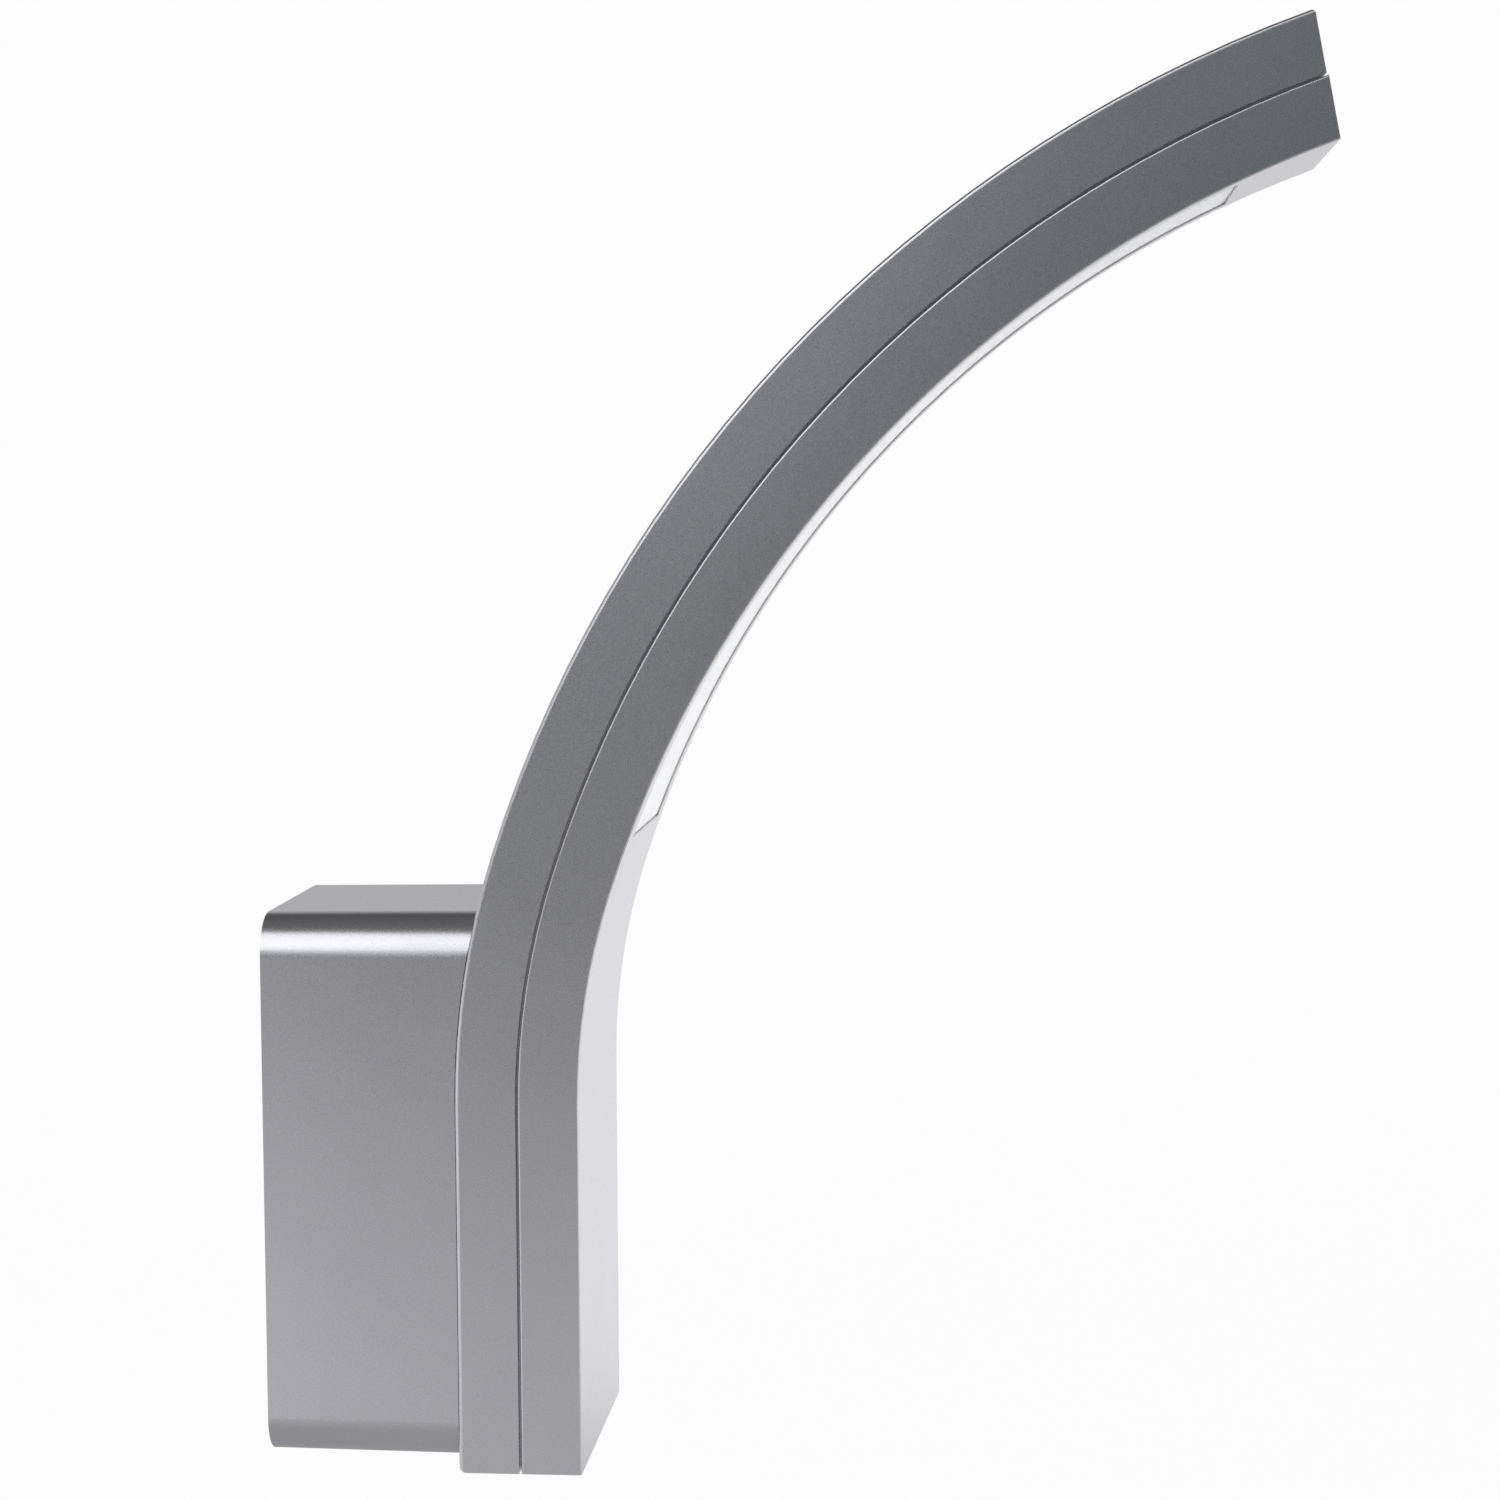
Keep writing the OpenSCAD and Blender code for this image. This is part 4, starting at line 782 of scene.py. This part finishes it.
@dataclass(frozen=True)
class Studio:
    """A sweep of white paper under a plain sky, and soft lamps that face the point eye."""

    floor_z: float = -0.5
    sweep_y: float = 2.6
    sweep_r: float = 0.8
    sweep_top: float = 0.85
    sweep_step: int = 6
    half_width: float = 9.0
    paper_white: float = 0.965
    paper_matt: Colour = (0.9, 0.9, 0.9)
    sky_white: float = 0.985
    eye: Triple = (0.1, 0.0, 0.1)
    lamps: tuple[Lamp, ...] = (
        Lamp("softbox", -25.5, 30.5, distance=1.6, width=1.0, height=1.54, watts=7.3),
        Lamp("side_fill", 70.0, 6.0, distance=1.8, width=1.6, height=1.2, watts=23.5,
             seen_by_metal=False),
        Lamp("wall_fill", -110.0, 25.0, distance=2.2, width=1.6, height=1.2, watts=16.0,
             seen_by_metal=False),
    )

    def build(self) -> None:
        """Sets the view transform and makes sky, sweep and lamps."""
        bpy.context.scene.view_settings.view_transform = "Standard"
        tone = StudioTone().build()
        self.sky(tone)
        self.sweep(tone)
        for lamp in self.lamps:
            lamp.build(Vector(self.eye))
            LOG.info("studio: %s", lamp.name)

    def sky(self, tone: Tree) -> None:
        """Makes the world: white for the camera, and the studio's tones for everything else.

        Args:
            tone: The group of the studio's tones.
        """
        world = bpy.data.worlds.new("studio_sky")
        bpy.context.scene.world = world
        world.use_nodes = True
        world.node_tree.nodes.clear()
        sheet = Sheet(world.node_tree)
        place = sheet.add("ShaderNodeTexCoord")
        room = sheet.place_group(tone, {"Direction": place.outputs["Generated"]})
        glow = sheet.add("ShaderNodeBackground", {}, {"Color": room.outputs[0], "Strength": 1.0})
        white = sheet.add("ShaderNodeBackground", {},
                          {"Color": (1.0, 1.0, 1.0, 1.0), "Strength": self.sky_white})
        path = sheet.add("ShaderNodeLightPath")
        mix = sheet.add("ShaderNodeMixShader", {}, {0: path.outputs["Is Camera Ray"],
                                                    1: glow.outputs[0], 2: white.outputs[0]})
        sheet.add("ShaderNodeOutputWorld", {}, {"Surface": mix.outputs[0]})

    def profile(self) -> Iterable[tuple[float, float]]:
        """Gives the sweep's outline from the front edge of the floor to the top of the backdrop.

        Returns:
            The points, each by its y and z.
        """
        bend_y = self.sweep_y - self.sweep_r
        yield -self.half_width, self.floor_z
        for degrees in range(0, 90 + self.sweep_step, self.sweep_step):
            turn = math.radians(degrees)
            yield (bend_y + self.sweep_r * math.sin(turn),
                   self.floor_z + self.sweep_r * (1 - math.cos(turn)))
        yield self.sweep_y, self.sweep_top

    def sweep(self, tone: Tree) -> None:
        """Makes the floor and the backdrop as one curved sheet of white paper.

        Args:
            tone: The group of the studio's tones.
        """
        shape = bmesh.new()
        points = [shape.verts.new((-self.half_width, y, z)) for y, z in self.profile()]
        edges = [shape.edges.new(pair) for pair in zip(points, points[1:])]
        swept = bmesh.ops.extrude_edge_only(shape, edges=edges)
        moved = [item for item in swept["geom"] if isinstance(item, bmesh.types.BMVert)]
        bmesh.ops.translate(shape, verts=moved, vec=Vector((2 * self.half_width, 0.0, 0.0)))
        mesh = bpy.data.meshes.new("sweep")
        shape.to_mesh(mesh)
        shape.free()
        for face in mesh.polygons:
            face.use_smooth = True
        sweep = bpy.data.objects.new("sweep", mesh)
        bpy.context.scene.collection.objects.link(sweep)
        sweep.data.materials.append(self.paper(tone))

    def paper(self, tone: Tree) -> bpy.types.Material:
        """Makes the sweep's paper: white for the camera, the studio's tones for metal, else matt.

        Args:
            tone: The group of the studio's tones.

        Returns:
            The material.
        """
        material = bpy.data.materials.new("sweep_paper")
        material.use_nodes = True
        material.node_tree.nodes.clear()
        sheet = Sheet(material.node_tree)
        matt = sheet.add("ShaderNodeBsdfDiffuse", {}, {"Color": (*self.paper_matt, 1.0)})
        place = sheet.add("ShaderNodeTexCoord")
        away = sheet.add("ShaderNodeVectorMath", {"operation": "SUBTRACT"},
                         {0: place.outputs["Object"], 1: self.eye})
        room = sheet.place_group(tone, {"Direction": away.outputs[0]})
        mirrored = sheet.add("ShaderNodeEmission", {}, {"Color": room.outputs[0], "Strength": 1.0})
        white = sheet.add("ShaderNodeEmission", {},
                          {"Color": (1.0, 1.0, 1.0, 1.0), "Strength": 1.0})
        path = sheet.add("ShaderNodeLightPath").outputs
        metal = sheet.reckon("MAXIMUM", path["Is Glossy Ray"], path["Is Transmission Ray"])
        seen = sheet.reckon("MULTIPLY", path["Is Camera Ray"], self.paper_white)
        unseen = sheet.add("ShaderNodeMixShader", {},
                           {0: metal, 1: matt.outputs[0], 2: mirrored.outputs[0]})
        mix = sheet.add("ShaderNodeMixShader", {}, {0: seen, 1: unseen.outputs[0],
                                                    2: white.outputs[0]})
        sheet.add("ShaderNodeOutputMaterial", {}, {"Surface": mix.outputs[0]})
        return material


@dataclass(frozen=True)
class SubAssembly:
    """Solids that are put together before they go into the light.

    Each field after the name is one of them, with the slot of its finish.
    """

    name: str

    def solids(self) -> dict[str, Slot]:
        """Lists the solids.

        Returns:
            The names of the solids, each with the slot of its finish.
        """
        values = {item.name: getattr(self, item.name) for item in fields(self)}
        return {node: slot for node, slot in values.items() if isinstance(slot, Slot)}

    def build(self, frame: dict[str, Any], shelf: FinishShelf) -> None:
        """Gives each solid its finish.

        Args:
            frame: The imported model.
            shelf: The made materials.
        """
        for node, slot in self.solids().items():
            shelf.dress(frame["nodes"][node], slot)
            LOG.info("%s: %s in %s", self.name, node, slot.value)


@dataclass(frozen=True)
class WallBracket(SubAssembly):
    """The sheet bracket on the wall, its clinch nuts, the locking screws and the terminal block."""

    name: str = "wall bracket"
    wall_bracket: Slot = Slot.GALVANISED_SHEET
    bracket_nuts: Slot = Slot.ZINC_SCREW
    locking_screws: Slot = Slot.ZINC_SCREW
    terminal_block: Slot = Slot.NATURAL_BLOCK
    terminal_clamps: Slot = Slot.BRASS_CLAMP
    terminal_screws: Slot = Slot.ZINC_SCREW


@dataclass(frozen=True)
class WallBox(SubAssembly):
    """The cast box over the bracket, the arm's screws, the grommet and the earth point."""

    name: str = "wall box"
    wall_box: Slot = Slot.SILVER_PAINT
    arm_screws: Slot = Slot.ZINC_SCREW
    arm_screw_washers: Slot = Slot.ZINC_SCREW
    cable_grommet: Slot = Slot.BLACK_RUBBER
    earth_ring: Slot = Slot.ZINC_SCREW
    earth_screw: Slot = Slot.ZINC_SCREW
    earth_washer: Slot = Slot.ZINC_SCREW


@dataclass(frozen=True)
class PowerSupply(SubAssembly):
    """The driver: case, cover, its board with the parts on it, and its two screws."""

    name: str = "power supply"
    driver_case: Slot = Slot.WHITE_CASE
    driver_cover: Slot = Slot.WHITE_CASE
    driver_board: Slot = Slot.GREEN_BOARD
    driver_transformer: Slot = Slot.DARK_CORE
    driver_capacitors: Slot = Slot.CAPACITOR_SLEEVE
    driver_screws: Slot = Slot.ZINC_SCREW


@dataclass(frozen=True)
class Arm(SubAssembly):
    """The curved arm: a rear and a front shell, screwed together."""

    name: str = "arm"
    arm_rear_shell: Slot = Slot.SILVER_PAINT
    arm_front_shell: Slot = Slot.SILVER_PAINT
    shell_screws: Slot = Slot.ZINC_SCREW


@dataclass(frozen=True)
class LightStrip(SubAssembly):
    """The light source in the arm: carrier strip, board, chips and the opal window over them."""

    name: str = "light strip"
    led_carrier: Slot = Slot.ALUMINIUM_STRIP
    led_board: Slot = Slot.WHITE_BOARD
    led_chips: Slot = Slot.YELLOW_PHOSPHOR
    led_connector: Slot = Slot.WHITE_CONNECTOR
    board_screws: Slot = Slot.ZINC_SCREW
    diffuser: Slot = Slot.OPAL_PLASTIC
    diffuser_clamps: Slot = Slot.SPRING_STEEL
    clamp_screws: Slot = Slot.ZINC_SCREW


@dataclass(frozen=True)
class Wiring(SubAssembly):
    """The leads from the terminals to the driver and on to the light strip."""

    name: str = "wiring"
    live_lead: Slot = Slot.BROWN_INSULATION
    neutral_lead: Slot = Slot.BLUE_INSULATION
    earth_lead: Slot = Slot.EARTH_INSULATION
    positive_lead: Slot = Slot.RED_INSULATION
    negative_lead: Slot = Slot.BLACK_INSULATION


def main() -> None:
    """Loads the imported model, dresses it and sets up camera and studio."""
    logging.basicConfig(level=logging.INFO, format="%(name)s: %(message)s")
    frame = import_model()
    Camera().build()
    Studio().build()
    shelf = FinishShelf(Effects())
    shelf.build()
    for assembly in (WallBracket(), WallBox(), PowerSupply(), Arm(), LightStrip(), Wiring()):
        assembly.build(frame, shelf)


if __name__ == "__main__":
    main()
